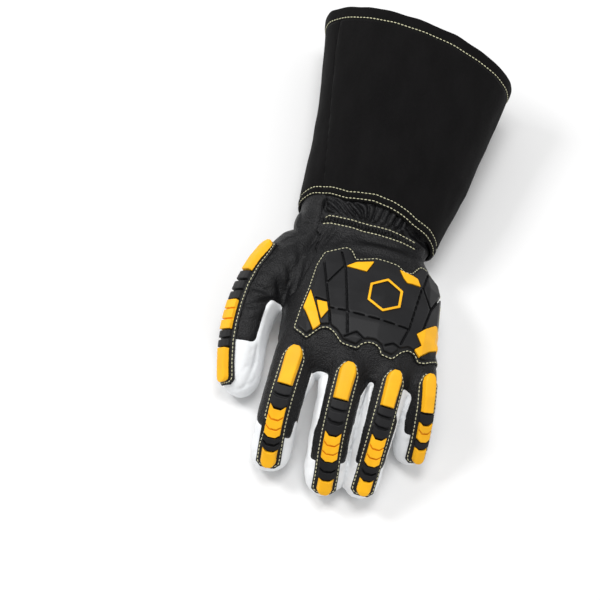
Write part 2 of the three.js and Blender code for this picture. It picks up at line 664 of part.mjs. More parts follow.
function guardOf(name) {
  const digit = digits[name];
  const g = GUARDS[name];
  const { half } = g;
  const padHalf = half - PAD_INSET;
  const vee = name === "thumb" ? 0 : VEE;
  const seat = FLANGE_HEIGHT + SEAT_GAP;
  const inner = padHalf / half;
  const edge = stopsAlong({
    from: g.start, to: g.end, half, roundFrom: 1, roundTo: TIP_ROUND, spacing: SPACING.flange,
    angles: ROUND_ANGLES.flange,
  });
  const flange = band(
    digit,
    withHeights(edge, LEATHER_GAP, FLANGE_HEIGHT),
    [-1, -inner, -inner / 2, inner / 2, inner, 1],
  );
  // the ribs bend from one vee to another
  const ribs = (from, to, count, bendFrom, bendTo) =>
    barsBetween(from + RIB_GAP / 2, to - RIB_GAP / 2, count, RIB_GAP).map((ends) => {
      const rings = ends.map((at) => ({
        at,
        half: padHalf + RIB_REACH,
        vee: THREE.MathUtils.mapLinear(at, from, to, bendFrom, bendTo),
      }));
      return band(digit, withHeights(rings, FLANGE_HEIGHT - RIB_ROOT, RIB_HEIGHT), PAD_PLACES);
    });
  const knuckleRibs = ribs(g.padEnd, g.bars, g.ribs, 0, vee);
  const tipRibs = ribs(g.barsEnd, g.tip, g.tipRibs, vee, vee);
  const bars = barsBetween(g.bars, g.barsEnd, g.barCount, CHEVRON_GAP);
  const chevrons = bars.flatMap(([from, to], i) => {
    const ring = (at, high) => ({ at, half: padHalf, low: seat, high, vee });
    const bar = [ring(from, CHEVRON_HEIGHT), ring(to, CHEVRON_HEIGHT)];
    const web = [ring(to, seat + CHEVRON_WEB), ring(to + CHEVRON_GAP, seat + CHEVRON_WEB)];
    return i === bars.length - 1 ? bar : [...bar, ...web];
  });
  const pad = stopsAlong({
    from: g.pad, to: g.padEnd, half: padHalf, roundFrom: 1, spacing: SPACING.pad,
  }).map((ring) => {
    const flare = THREE.MathUtils.mapLinear(ring.at, g.pad, g.padEnd, KNUCKLE_FLARE, 0);
    return { ...ring, half: ring.half * (1 + flare) };
  });
  const tip = stopsAlong({
    from: g.tip, to: g.end - PAD_INSET, half: padHalf, roundTo: TIP_ROUND, spacing: SPACING.tip,
  });
  tip[0].vee = vee;
  const crowned = (rings) => {
    return withHeights(rings, seat, PAD_HEIGHT).map((ring) => ({ ...ring, crown: PAD_CROWN }));
  };
  return {
    guard: joined([flange, ...knuckleRibs, ...tipRibs]),
    knuckle_pad: band(digit, crowned(pad), PAD_PLACES),
    chevrons: band(digit, chevrons, PAD_PLACES),
    tip_pad: band(digit, crowned(tip), PAD_PLACES),
  };
}

// An outline moved outwards by distance (inwards when negative), corners kept sharp.
function offset(outline, distance) {
  const signed = outline.reduce((sum, [x, y], i) => {
    const [nx, ny] = outline[(i + 1) % outline.length];
    return sum + x * ny - nx * y;
  }, 0);
  const side = Math.sign(signed) * distance;
  return outline.map(([x, y], i) => {
    const [px, py] = outline.at(i - 1);
    const [nx, ny] = outline[(i + 1) % outline.length];
    const a = new THREE.Vector2(y - py, px - x).normalize();
    const b = new THREE.Vector2(ny - y, x - nx).normalize();
    const mean = a.clone().add(b).normalize();
    const push = side / Math.max(mean.dot(a), 0.5);
    return [x + mean.x * push, y + mean.y * push];
  });
}

// A thin upright wall along a line, for cutting a groove.
function stroke(line, width) {
  return joined(
    line.slice(1).map(([bx, by], i) => {
      const [ax, ay] = line[i];
      const along = new THREE.Vector2(bx - ax, by - ay).setLength(width / 2);
      const side = new THREE.Vector2(-along.y, along.x);
      return prism([
        [ax - along.x + side.x, ay - along.y + side.y],
        [ax - along.x - side.x, ay - along.y - side.y],
        [bx + along.x - side.x, by + along.y - side.y],
        [bx + along.x + side.x, by + along.y + side.y],
      ]);
    }),
  );
}

const grownHand = (height) => handSolid(height, OUTER).intersect(above(BACK_GUARD_LOW));
const layer = (low, high) => grownHand(high).subtract(handSolid(low, OUTER));
const guardLayer = layer(SEAT_GAP, FLANGE_HEIGHT);
const plateLayer = layer(FLANGE_HEIGHT - RIB_ROOT, RIB_HEIGHT);
const accentLayer = layer(FLANGE_HEIGHT + GAP, CHEVRON_HEIGHT);
const badgeLayer = layer(RIB_HEIGHT + GAP, RIB_HEIGHT + BADGE_RISE);

function backGuard() {
  const cuts = [
    ...BACK_GUARD_GROOVES.map((line) => stroke(line, GROOVE_WIDTH)),
    ...Object.values(BACK_GUARD_ACCENTS).map((outline) => prism(offset(outline, GAP))),
  ];
  const plates = plateLayer.intersect(prism(offset(BACK_GUARD_EDGE, -PLATE_INSET)));
  const base = guardLayer.intersect(prism(offset(BACK_GUARD_EDGE, FLANGE_OUTSET)));
  return base.add(plates.subtract(joined(cuts)));
}

function badge() {
  const { x, y, width, height, band: edge } = BADGE;
  const hexagon = [[0, 0.5], [0.5, 0.25], [0.5, -0.25], [0, -0.5], [-0.5, -0.25], [-0.5, 0.25]];
  const corners = hexagon.map(([u, v]) => [x + u * width, y + v * height]);
  return badgeLayer.intersect(prism(corners).subtract(prism(offset(corners, -edge))));
}

function palmPatch() {
  const lower = handSolid(GAP + PATCH_LEATHER, OUTER).subtract(handSolid(GAP, OUTER));
  return lower.intersect(prism(PATCH_EDGE, FLOOR, PATCH_TOP));
}

// The glove

const glove = new THREE.Group();

function add(name, solid, material) {
  const mesh = new THREE.Mesh(geometryOf(solid), new THREE.MeshStandardMaterial(COLOURS[material]));
  mesh.name = name;
  glove.add(mesh);
}

add("hand_back", handBack.subtract(beyondRoots(GAP)), "goatskin_black");
add("hand_palm", handPalm.subtract(beyondRoots(GAP)), "goatskin_white");
for (const name of FINGERS) {
  add(`${name}_back`, onFinger(handBack, name), "goatskin_black");
  add(`${name}_front`, onFinger(handPalm, name), "goatskin_white");
}
add("thumb_back", thumbLeather.intersect(backOfThumb(0)), "goatskin_black");
add("thumb_palm", thumbLeather.subtract(backOfThumb(GAP)), "goatskin_white");
add("palm_patch", palmPatch(), "goatskin_gold");
add("cuff_back", cuffLeather.intersect(cuffBackRegion(0)), "split_black");
add("cuff_palm", cuffLeather.subtract(cuffBackRegion(GAP)), "split_black");
add("cuff_hem", hem, "split_black");
add("pull_loop", pullLoop(), "goatskin_white");
add("back_guard", backGuard(), "rubber_black");
const accentEdge = prism(offset(BACK_GUARD_EDGE, -FLANGE_OUTSET));
for (const [name, outline] of Object.entries(BACK_GUARD_ACCENTS)) {
  add(name, accentLayer.intersect(prism(outline)).intersect(accentEdge), "rubber_yellow");
}
add("badge", badge(), "rubber_yellow");
for (const name of Object.keys(GUARDS)) {
  for (const [part, solid] of Object.entries(guardOf(name))) {
    const bars = name === "thumb" && part === "chevrons" ? "bars" : part;
    add(`${name}_${bars}`, solid, part === "guard" ? "rubber_black" : "rubber_yellow");
  }
}

// The origin is the middle of the footprint, on the surface that the glove lies on.
const footprint = new THREE.Box3().setFromObject(glove);
const middle = footprint.getCenter(new THREE.Vector3());
glove.position.set(-middle.x, -middle.y, -footprint.min.z);

export default glove;
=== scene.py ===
"""Leather, moulded rubber, stitching and studio for a left-hand welding glove lying palm down."""

import math
from typing import NamedTuple

import bmesh
import bpy
from mathutils import Matrix, Vector, noise
from mathutils.bvhtree import BVHTree


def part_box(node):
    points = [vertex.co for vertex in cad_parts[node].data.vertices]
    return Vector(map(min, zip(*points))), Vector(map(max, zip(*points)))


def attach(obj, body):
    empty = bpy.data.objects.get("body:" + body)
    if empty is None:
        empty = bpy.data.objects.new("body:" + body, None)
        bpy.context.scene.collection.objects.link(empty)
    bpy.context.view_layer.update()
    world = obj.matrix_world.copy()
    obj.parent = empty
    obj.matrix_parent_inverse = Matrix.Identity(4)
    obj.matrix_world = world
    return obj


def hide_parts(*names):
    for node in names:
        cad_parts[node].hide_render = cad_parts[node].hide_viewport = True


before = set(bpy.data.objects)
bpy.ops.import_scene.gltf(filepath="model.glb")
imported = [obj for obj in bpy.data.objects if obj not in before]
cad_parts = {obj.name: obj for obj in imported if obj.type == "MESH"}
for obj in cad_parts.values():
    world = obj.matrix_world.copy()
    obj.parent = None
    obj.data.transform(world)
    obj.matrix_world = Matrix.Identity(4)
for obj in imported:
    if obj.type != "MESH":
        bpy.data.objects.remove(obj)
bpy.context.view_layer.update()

bl_info = {
    "name": "Welding glove",
    "version": (1, 0, 0),
    "blender": (4, 5, 0),
    "location": "View3D > Sidebar > Glove",
    "description": "Builds the leather, guards and stitching of a welding glove on its CAD frame",
    "category": "Object",
}

MM = 0.001
ORIGIN = Vector((0.6085, 6.2019, 0.0))

# Vertices within DOUBLES of each other are merged. A cut runs through those within ON_LINE of its line.
DOUBLES = 0.002 * MM
ON_LINE = 0.12 * MM

FINGERS = ("index", "middle", "ring", "pinky")
DIGITS = FINGERS + ("thumb",)
BACK_NODES = ("hand_back",) + tuple(f"{finger}_back" for finger in FINGERS)
FRONT_NODES = ("hand_palm",) + tuple(f"{finger}_front" for finger in FINGERS)
THUMB_NODES = ("thumb_back", "thumb_palm")
CUFF_NODES = ("cuff_back", "cuff_palm")
LEATHER_PIECES = ("back_leather", "palm_leather", "thumb_back_leather", "thumb_palm_leather")

# The hand's skin is made over the solids swollen by SWELLING, so that it closes the gaps between them.
SWELLING = 0.8 * MM
SKIN_PASSES = 20
WRIST_END = 31.5

# Relief of the hand's leather, in millimetres.
SKIN_LIFT = 0.45
SEAM_DEPTH = 0.6
SEAM_SWELL = 0.25
BLACK_FOLD_DEPTH = 0.3
WHITE_FOLD_DEPTH = 0.45
GATHER_DEPTH = 4.2
GATHER_PITCH = 5.3
RUFFLE_DEPTH = 1.9
RUFFLE_PITCH = 2.5
UNDER_CUFF = 0.6
UNDER_TRIM = 0.25
CROTCH_DEPTH = 2.6

# Regions of the hand, in the part's millimetres.
WRIST_FROM = -30
WRIST_TOP = 36
CUFF_FROM = 4
FINGER_ROOTS = -92
SLITS_FROM = -105
SLITS_ABOVE = 24
SLIT_BORDER = 6


class Fold(NamedTuple):
    """A fold of the leather between two points, in the part's millimetres; a crease's height is below 0."""

    start: tuple
    end: tuple
    width: float
    height: float


class Slit(NamedTuple):
    """White leather seen from above between two fingers, in millimetres.

    Half its width is given at both ends. Over the length of its head the leather beside it stays black.
    """

    start: tuple
    end: tuple
    start_half: float
    end_half: float
    head: float


SLITS = (
    Slit((-13.1, -121), (-14.4, -152), 6.1, 7.0, 30.0),
    Slit((23.4, -118), (21.4, -129), 2.0, 3.5, 20.0),
    Slit((21.4, -129), (20.6, -172), 3.5, 3.3, 18.0),
    Slit((49.4, -119.5), (48, -134), 4.0, 3.5, 8.0),
)
WRIST_FOLDS = (
    Fold((-35, 22, 53.5), (-32, 8, 49.5), 1.9, -3.4),
    Fold((-44, 20, 49), (-43, 8, 44), 6.0, 1.8),
    Fold((-32.2, 1, 46.5), (-40.6, -24, 45.5), 1.7, -2.4),
    Fold((-29, 0, 47.2), (-35.2, -21, 47.3), 1.5, -2.1),
    Fold((-23, -1, 48), (-30.4, -18, 48.6), 1.7, -1.8),
    Fold((-30.5, -2, 47.4), (-38, -22, 46.5), 1.4, 1.4),
    Fold((-26, -1, 47.8), (-33, -19, 48), 1.5, 1.4),
    Fold((-36, -1, 45), (-46, -24, 43), 2.6, 1.6),
    Fold((-14, -3, 49), (-20, -14, 49.5), 2.2, -1.2),
    Fold((-5, -12.8, 51), (31, -12, 47), 3.6, 2.8),
    Fold((-2, -6, 50), (26, -6, 48.5), 2.4, -1.3),
    Fold((28, 10, 49.5), (46, 6, 40.5), 2.3, -3.6),
    Fold((23, 7, 50.3), (30, 9.5, 49.5), 1.9, 1.8),
    Fold((33, 4.5, 46), (46, 3, 36), 2.2, 2.0),
    Fold((30, 15, 50), (48, 10, 42), 2.6, 2.4),
    Fold((-52, 2, 30), (-60, -16, 31), 9.0, 3.4),
)
THUMB_FOLDS = (
    Fold((-59, -43, 43), (-50, -60, 40), 2.6, -2.6),
    Fold((-55, -38, 45), (-47, -56, 43), 2.8, 2.2),
    Fold((-43, -60, 45), (-40, -38, 47), 2.0, -1.8),
    Fold((-65, -66, 40), (-54, -63, 39), 2.6, -1.6),
    Fold((-50, -22, 46), (-45, -40, 46), 3.0, 1.4),
    Fold((-73, -57.5, 41), (-61, -60, 43), 2.2, -2.4),
    Fold((-71, -63, 42), (-60, -63.5, 41.5), 2.4, 1.6),
    Fold((-73, -73, 40), (-59, -66, 40.5), 2.2, -1.9),
    Fold((-70, -80, 39), (-62, -73, 39.5), 3.0, 1.2),
)
TIP_SEAM = (
    Fold((-60.6, -94, 33), (-59.3, -112, 27), 1.2, -1.3),
    Fold((-59.3, -110, 27.5), (-64, -128, 21.5), 1.2, -1.3),
)

# Rows of stitches, seen from above, in millimetres.
BAND_ROW = ((-32, 6.7), (-30, 8.1), (-21, 7.5), (-6, 6.2), (1, 5.6), (16, 5.7), (30, 4.2), (37, 2.8))
BAND_EDGE_ROW = ((-33, 2.4), (-27, 2.8), (-10, 1.6), (-3, 0.7), (12, 0.5), (27, 0.2), (38, -0.4))
ABOVE_ALL = 120.0

# Rows of stitches laid inside the rim of a piece; its underside lies within the reach of the leather.
RIM_REACH = 1.2 * MM
DIGIT_RIM_REACH = 4 * MM
DIGIT_ROW_INSET = 1.7 * MM
BACK_ROW_INSET = 1.0 * MM
PATCH_ROW_INSETS = (1.6 * MM, 4.0 * MM)
ROW_STEP = 1.0 * MM
ROW_SMOOTHING = 3
SEWING_REACH = 4 * MM

# The cuff's axis: the middle of each section in millimetres, and its turn about the upright in degrees.
CUFF_AXIS = (
    (-0.5, 13.5, 29.5, -9.2),
    (3, 39, 32.5, -8.6),
    (7.5, 68, 35.5, -10),
    (9.5, 98, 38.2, -10.4),
    (11.2, 130, 41, -10.6),
    (12, 165.5, 44, -11.8),
)

# The cuff in millimetres from its edge at the wrist or from its mouth. EDGE_STEP and INSIDE_EDGE are
# shares of its length.
CUFF_LENGTH = 152.0
CUFF_COLUMNS = 252
CUFF_REACH = 150.0
CUFF_PASSES = 10
CUFF_ROWS = (1.2, 7.0)
EDGE_STEP = 0.002
EDGE_PASSES = 3
INSIDE_EDGE = 0.0005
FIRST_RADIUS = 50 * MM
NEAR_EDGE = (0.0, 0.5, 1.2, 2.0, 3.0, 4.1, 5.2, 6.2, 7.0, 7.8, 9.0, 10.5)
NEAR_MOUTH = (9.0, 8.4, 7.8, 7.2, 6.2, 5.0, 3.8, 2.6, 1.4)
MIDDLE_ROWS = 76
HEM_LENGTH = 9.0
HEM_ROW = 7.8
HEM_LIP = 1.4

# Size of the faces of remeshed pieces, and the passes that round their edges.
PATCH_MESH = (0.6 * MM, 3)
LOOP_MESH = (0.7 * MM, 3)
BACK_GUARD_MESH = (0.58 * MM, 2)
INLAY_MESH = (0.4 * MM, 2)
BADGE_MESH = (0.35 * MM, 2)
DIGIT_GUARD_MESH = (0.42 * MM, 2)
PAD_MESH = (0.38 * MM, 7)
BAR_MESH = (0.25 * MM, 2)

# The stage in metres and watts, with the camera's angles in degrees.
FLOOR_HALF = 6.0
FLOOR_GAP = 0.3 * MM
CAMERA_HEIGHT = 62
CAMERA_ROLL = 12
CAMERA_PLACE = (-0.03670, -0.79857, 1.44213)
LIGHTS = (
    ("overhead", (-0.1, 0.1, 1.5), 0.6, 9.0),
    ("key", (-1.0, 0.1, 1.1), 0.4, 8.5),
    ("fill", (1.2, -0.1, 0.9), 0.8, 3.0),
)
SURROUND = 0.55


# Geometry.


def at(x, y, z=0.0):
    """A point given in the part's millimetres."""
    return (Vector((x, y, z)) + ORIGIN) * MM


def part_mm(point):
    """A point of the scene in the part's millimetres."""
    return point / MM - ORIGIN


def rise(value, start, end):
    """0 before start, 1 after end and a smooth slope between them."""
    share = min(max((value - start) / (end - start), 0.0), 1.0)
    return share * share * (3 - 2 * share)


def hump(value, start, end, slope):
    """1 between start and end, falling to 0 over slope on both sides."""
    return rise(value, start - slope, start) * (1 - rise(value, end, end + slope))


def ridge(distance, width):
    """A round ridge of height 1 at distance 0."""
    return math.exp(-((distance / width) ** 2))


def along(points, x):
    """The height of a row of plan points at x."""
    for (x0, y0), (x1, y1) in zip(points, points[1:]):
        if x <= x1:
            return y0 + (y1 - y0) * max((x - x0) / (x1 - x0), 0.0)
    return points[-1][1]


def cad_copy(*names):
    """Merged copies of CAD nodes."""
    copy = bmesh.new()
    for name in names:
        copy.from_mesh(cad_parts[name].data)
    bmesh.ops.remove_doubles(copy, verts=copy.verts, dist=DOUBLES)
    return copy


def cad_surface(*names):
    """CAD nodes as a surface to measure from."""
    copy = cad_copy(*names)
    surface = BVHTree.FromBMesh(copy)
    copy.free()
    return surface


def even_faces(form, voxel):
    """The same closed form in even faces."""
    mesh = bpy.data.meshes.new("form")
    form.to_mesh(mesh)
    form.free()
    holder = bpy.data.objects.new("form", mesh)
    bpy.context.scene.collection.objects.link(holder)
    remesh = holder.modifiers.new("even", "REMESH")
    remesh.mode = "VOXEL"
    remesh.voxel_size = voxel
    even = bmesh.new()
    ready = holder.evaluated_get(bpy.context.evaluated_depsgraph_get())
    even.from_mesh(ready.to_mesh())
    ready.to_mesh_clear()
    bpy.data.objects.remove(holder)
    bpy.data.meshes.remove(mesh)
    return even


def soften(form, passes, verts=None):
    """Smooths a form's facets."""
    for _ in range(passes):
        bmesh.ops.smooth_vert(
            form, verts=verts or form.verts, factor=0.5, use_axis_x=True, use_axis_y=True, use_axis_z=True
        )
    form.normal_update()


def rounded(node, voxel, passes):
    """A CAD node with rounded edges, in even faces."""
    form = even_faces(cad_copy(node), voxel)
    soften(form, passes)
    return form


def keep_shell(form, start):
    """Keeps the shell that holds one vertex, and drops every other."""
    seen = {start}
    waiting = [start]
    while waiting:
        for edge in waiting.pop().link_edges:
            for vert in edge.verts:
                if vert not in seen:
                    seen.add(vert)
                    waiting.append(vert)
    bmesh.ops.delete(form, geom=[v for v in form.verts if v not in seen], context="VERTS")


def cut_along(form, level):
    """Puts edges where a vertex value changes its sign."""
    on_line = []
    for vert in form.verts:
        if abs(vert[level]) < ON_LINE:
            vert[level] = 0.0
            on_line.append(vert)
    for edge in list(form.edges):
        first, second = edge.verts
        if first[level] * second[level] < 0:
            share = first[level] / (first[level] - second[level])
            _, middle = bmesh.utils.edge_split(edge, first, share)
            middle[level] = 0.0
            on_line.append(middle)
    bmesh.ops.connect_verts(form, verts=on_line)


def part_of(form, **sides):
    """A copy of the faces where each named vertex value has the side's sign."""
    piece = form.copy()
    for name, side in sides.items():
        level = piece.verts.layers.float[name]
        beyond = [face for face in piece.faces if (mean(face, level) > 0) != (side > 0)]
        bmesh.ops.delete(piece, geom=beyond, context="FACES")
    return piece


def mean(face, level):
    """The mean of a vertex value over a face."""
    return sum(vert[level] for vert in face.verts) / len(face.verts)


def even_out(form, level, passes):
    """Averages a vertex value over its neighbours."""
    for _ in range(passes):
        means = []
        for vert in form.verts:
            total = sum(edge.other_vert(vert)[level] for edge in vert.link_edges)
            means.append(total / len(vert.link_edges))
        for vert, value in zip(form.verts, means):
            vert[level] = (vert[level] + value) / 2


def add_piece(name, form, finish, stands_for=(), wall=0.0):
    """Makes a piece of the glove from a form."""
    for face in form.faces:
        face.smooth = True
    mesh = bpy.data.meshes.new(name)
    form.to_mesh(mesh)
    form.free()
    mesh.materials.append(finish)
    piece = bpy.data.objects.new(name, mesh)
    bpy.context.scene.collection.objects.link(piece)
    if wall:
        solid = piece.modifiers.new("leather", "SOLIDIFY")
        solid.thickness = wall
        solid.offset = -1
    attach(piece, "root")
    if stands_for:
        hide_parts(*stands_for)
    return piece


def surface_of(*names):
    """The outside of finished pieces as a surface to measure from."""
    whole = bmesh.new()
    for name in names:
        whole.from_mesh(bpy.data.objects[name].data)
    surface = BVHTree.FromBMesh(whole)
    whole.free()
    return surface


# Finishes.


class Amount:
    """A number that varies over a surface; arithmetic on it adds Math nodes."""

    def __init__(self, finish, socket):
        self.finish = finish
        self.socket = socket

    def _maths(self, operation, *values):
        return self.finish.node("ShaderNodeMath", {"operation": operation}, dict(enumerate(values)))

    def __add__(self, other):
        return self._maths("ADD", self, other)

    __radd__ = __add__

    def __sub__(self, other):
        return self._maths("SUBTRACT", self, other)

    def __rsub__(self, other):
        return self._maths("SUBTRACT", other, self)

    def __mul__(self, other):
        return self._maths("MULTIPLY", self, other)

    __rmul__ = __mul__

    def between(self, low, high):
        """0 below low and 1 above high."""
        return self.finish.node(
            "ShaderNodeMapRange",
            {"clamp": True, "interpolation_type": "SMOOTHSTEP"},
            {"Value": self, "From Min": low, "From Max": high, "To Min": 0.0, "To Max": 1.0},
        )


class Finish:
    """A procedural material on Object coordinates."""

    def __init__(self, name):
        self.material = bpy.data.materials.new(name)
        self.material.use_nodes = True
        self.nodes = self.material.node_tree.nodes
        self.links = self.material.node_tree.links
        self.shader = self.nodes["Principled BSDF"]
        self.place = self.node("ShaderNodeTexCoord", output="Object")

    def node(self, kind, settings=None, values=None, output=0):
        """Adds a node, sets it up and returns one of its outputs."""
        made = self.nodes.new(kind)
        for key, value in (settings or {}).items():
            setattr(made, key, value)
        for key, value in (values or {}).items():
            if isinstance(value, Amount):
                self.links.new(value.socket, made.inputs[key])
            else:
                made.inputs[key].default_value = value
        return Amount(self, made.outputs[output])

    def noise(self, scale, detail=3.0, roughness=0.5, stretch=None):
        """Cloudy noise, from 0 to 1."""
        place = self.place
        if stretch:
            place = self.node("ShaderNodeMapping", {}, {"Vector": place, "Scale": stretch})
        return self.node(
            "ShaderNodeTexNoise",
            {"noise_dimensions": "3D"},
            {"Vector": place, "Scale": scale, "Detail": detail, "Roughness": roughness},
        )

    def cells(self, scale):
        """Distance across small cells, from 0 at their centres."""
        values = {"Vector": self.place, "Scale": scale}
        return self.node("ShaderNodeTexVoronoi", {"feature": "F1"}, values, "Distance")

    def blend(self, share, first, second):
        """A colour between two others."""
        return self.node("ShaderNodeMix", {"data_type": "RGBA"}, {0: share, 6: first, 7: second}, 2)

    def relief(self, height, depth):
        """Bumps of this depth."""
        bump = self.node("ShaderNodeBump", {}, {"Height": height, "Distance": depth, "Strength": 1.0})
        self.links.new(bump.socket, self.shader.inputs["Normal"])

    def set(self, **values):
        """Sets or links sockets of the shader, named with _ for a space."""
        for key, value in values.items():
            socket = self.shader.inputs[key.replace("_", " ")]
            if isinstance(value, Amount):
                self.links.new(value.socket, socket)
            else:
                socket.default_value = value
        return self.material


def shade(colour, factor):
    """A colour made darker or lighter."""
    return tuple(min(part * factor, 1.0) for part in colour[:3]) + (1.0,)


def grain_leather(name, colour, grain, rough, depth, tone=0.12, dirt=0.0, painted_pore_shade=0.35, specular=0.24):
    """Goatskin: pebbled grain with fine pits and faint clouds of tone; the hollows between the pebbles are
    darkened with painted shade.
    """
    leather = Finish(name)
    cells = leather.cells(1 / grain)
    fine = leather.noise(2.2 / grain, 4)
    coarse = leather.noise(0.6 / grain, 2)
    cloud = leather.noise(38, 4, 0.55)
    pebbles = cells.between(0.05, 0.75)
    height = (1 - pebbles) * 0.7 + fine * 0.45 + coarse * 0.9
    tint = leather.blend(cloud.between(0.3, 0.7), shade(colour, 1 - tone), shade(colour, 1 + tone))
    # Painted shade: the hollows between the pebbles, low in the relief, are darkened.
    tint = leather.blend(pebbles * painted_pore_shade, tint, shade(colour, 0.62))
    if dirt:
        smudge = leather.noise(95, 5, 0.6).between(0.56, 0.8)
        tint = leather.blend(smudge * dirt, tint, shade(colour, 0.7))
    leather.relief(height, depth)
    return leather.set(
        Base_Color=tint, Roughness=rough + pebbles * 0.14 + cloud * 0.08, Specular_IOR_Level=specular
    )


def split_leather(name, colour):
    """Suede: short nap with scuffed, slightly lighter patches."""
    suede = Finish(name)
    nap = suede.noise(1900, 5, 0.65)
    brushed = suede.noise(60, 5, 0.6, (1.0, 0.45, 1.0))
    spots = suede.noise(420, 3)
    tint = suede.blend(brushed.between(0.32, 0.72), shade(colour, 0.8), shade(colour, 1.25))
    tint = suede.blend(spots.between(0.45, 0.75) * 0.3, tint, shade(colour, 1.5))
    suede.relief(nap * 0.7 + spots * 0.5, 0.25 * MM)
    return suede.set(
        Base_Color=tint, Roughness=0.93 - brushed * 0.08, Specular_IOR_Level=0.12,
        Sheen_Weight=0.02, Sheen_Roughness=0.5,
    )


def moulded_rubber(name, colour, rough, edge=1.25):
    """Moulded rubber: satin, with a faint mould texture and slightly uneven gloss."""
    rubber = Finish(name)
    texture = rubber.noise(1400, 2)
    cloud = rubber.noise(70, 4)
    tint = rubber.blend(cloud.between(0.3, 0.75), shade(colour, 0.92), shade(colour, edge))
    rubber.relief(texture * 0.6 + rubber.noise(260, 2) * 0.8, 0.05 * MM)
    return rubber.set(Base_Color=tint, Roughness=rough + cloud * 0.12, Specular_IOR_Level=0.2)


def sewing_thread(name, colour):
    """Waxed thread: paler on its crowns, a painted highlight, and darker between its strands, painted shade.
    """
    thread = Finish(name)
    strands = thread.noise(2600, 2)
    # Painted highlight and shade: the thread is paler where the strands' relief is high and darker where it
    # is low.
    tint = thread.blend(strands.between(0.35, 0.65), shade(colour, 0.7), shade(colour, 1.1))
    thread.relief(strands, 0.08 * MM)
    return thread.set(Base_Color=tint, Roughness=0.6 + strands * 0.2)


# Hand leather.


def folded(place, folds):
    """The height that folds give to a place, in millimetres."""
    height = 0.0
    for fold in folds:
        start = Vector(fold.start)
        run = Vector(fold.end) - start
        share = min(max((place - start).dot(run) / run.length_squared, 0.0), 1.0)
        gap = (place - start - run * share).length
        if gap < 3 * fold.width:
            height += fold.height * ridge(gap, fold.width) * math.sin(math.pi * (0.12 + 0.76 * share))
    return height


def inside_slit(place, slit):
    """How far a place is inside a slit's outline, in millimetres."""
    start = Vector(slit.start)
    run = Vector(slit.end) - start
    share = min(max((place.xy - start).dot(run) / run.length_squared, 0.0), 1.0)
    half = slit.start_half + (slit.end_half - slit.start_half) * share
    return half - (place.xy - start - run * share).length


def gathers(x, y):
    """Gathers between the cuff's edge and the elastic band, in millimetres."""
    slant = -1.2 + 1.45 * rise(x, -17, 8)
    sway = 1.8 * noise.noise(Vector((x * 0.1, y * 0.07, 3.0)))
    wave = abs(math.cos(math.pi * (x - slant * (y - 14) + sway) / GATHER_PITCH)) ** 0.8
    uneven = 0.75 + 0.7 * noise.noise(Vector((x * 0.07, 5.0, 1.0)))
    return GATHER_DEPTH * uneven * (wave - 0.35)


def wrist_shape(place):
    """How the elastic gathers the leather, in millimetres."""
    x, y = place.x, place.y
    if place.z <= WRIST_TOP:
        return 0.72 * gathers(x, 14 + 0.2 * y) * hump(y, 4, 14, 6)
    across = hump(x, -31, 24, 4)
    between = rise(y, along(BAND_ROW, x) + 1.2, along(BAND_ROW, x) + 4.5) * (1 - rise(y, 17, 21))
    on_band = rise(y, along(BAND_EDGE_ROW, x) + 0.5, along(BAND_EDGE_ROW, x) + 1.7)
    on_band *= 1 - rise(y, along(BAND_ROW, x) - 1.7, along(BAND_ROW, x) - 0.5)
    sway = 0.6 * noise.noise(Vector((x * 0.2, y * 0.2, 8.0)))
    ruffle = abs(math.cos(math.pi * (x + 0.15 * y + sway) / RUFFLE_PITCH)) - 0.5
    pinch = ridge(y - along(BAND_ROW, x), 1.0) + ridge(y - along(BAND_EDGE_ROW, x), 1.0)
    band = hump(x, -33, 38, 2)
    return gathers(x, y) * between * across + band * (RUFFLE_DEPTH * ruffle * on_band - 0.4 * pinch)


def seam_shape(gap):
    """How leather sinks along a seam and swells beside it, in millimetres."""
    return SKIN_LIFT - SEAM_DEPTH * ridge(gap, 0.9) + SEAM_SWELL * ridge(gap - 2.6, 1.6)


def soft_folds(place, depth):
    """Low, uneven swells and thin creases of soft leather, in millimetres."""
    swell = noise.noise(place * 0.055)
    crease = 1 - abs(noise.noise(Vector((place.x * 0.05 + 7, place.y * 0.16 + 1, place.z * 0.09 + 3))))
    return depth * (0.9 * swell - 1.1 * rise(crease, 0.9, 1.0))


def side_folds(place):
    """Folds that run along the white sides of the digits, in millimetres."""
    return 0.8 * noise.noise(Vector((place.x * 0.1, place.y * 0.035, place.z * 0.14)) + Vector((2, 9, 4)))


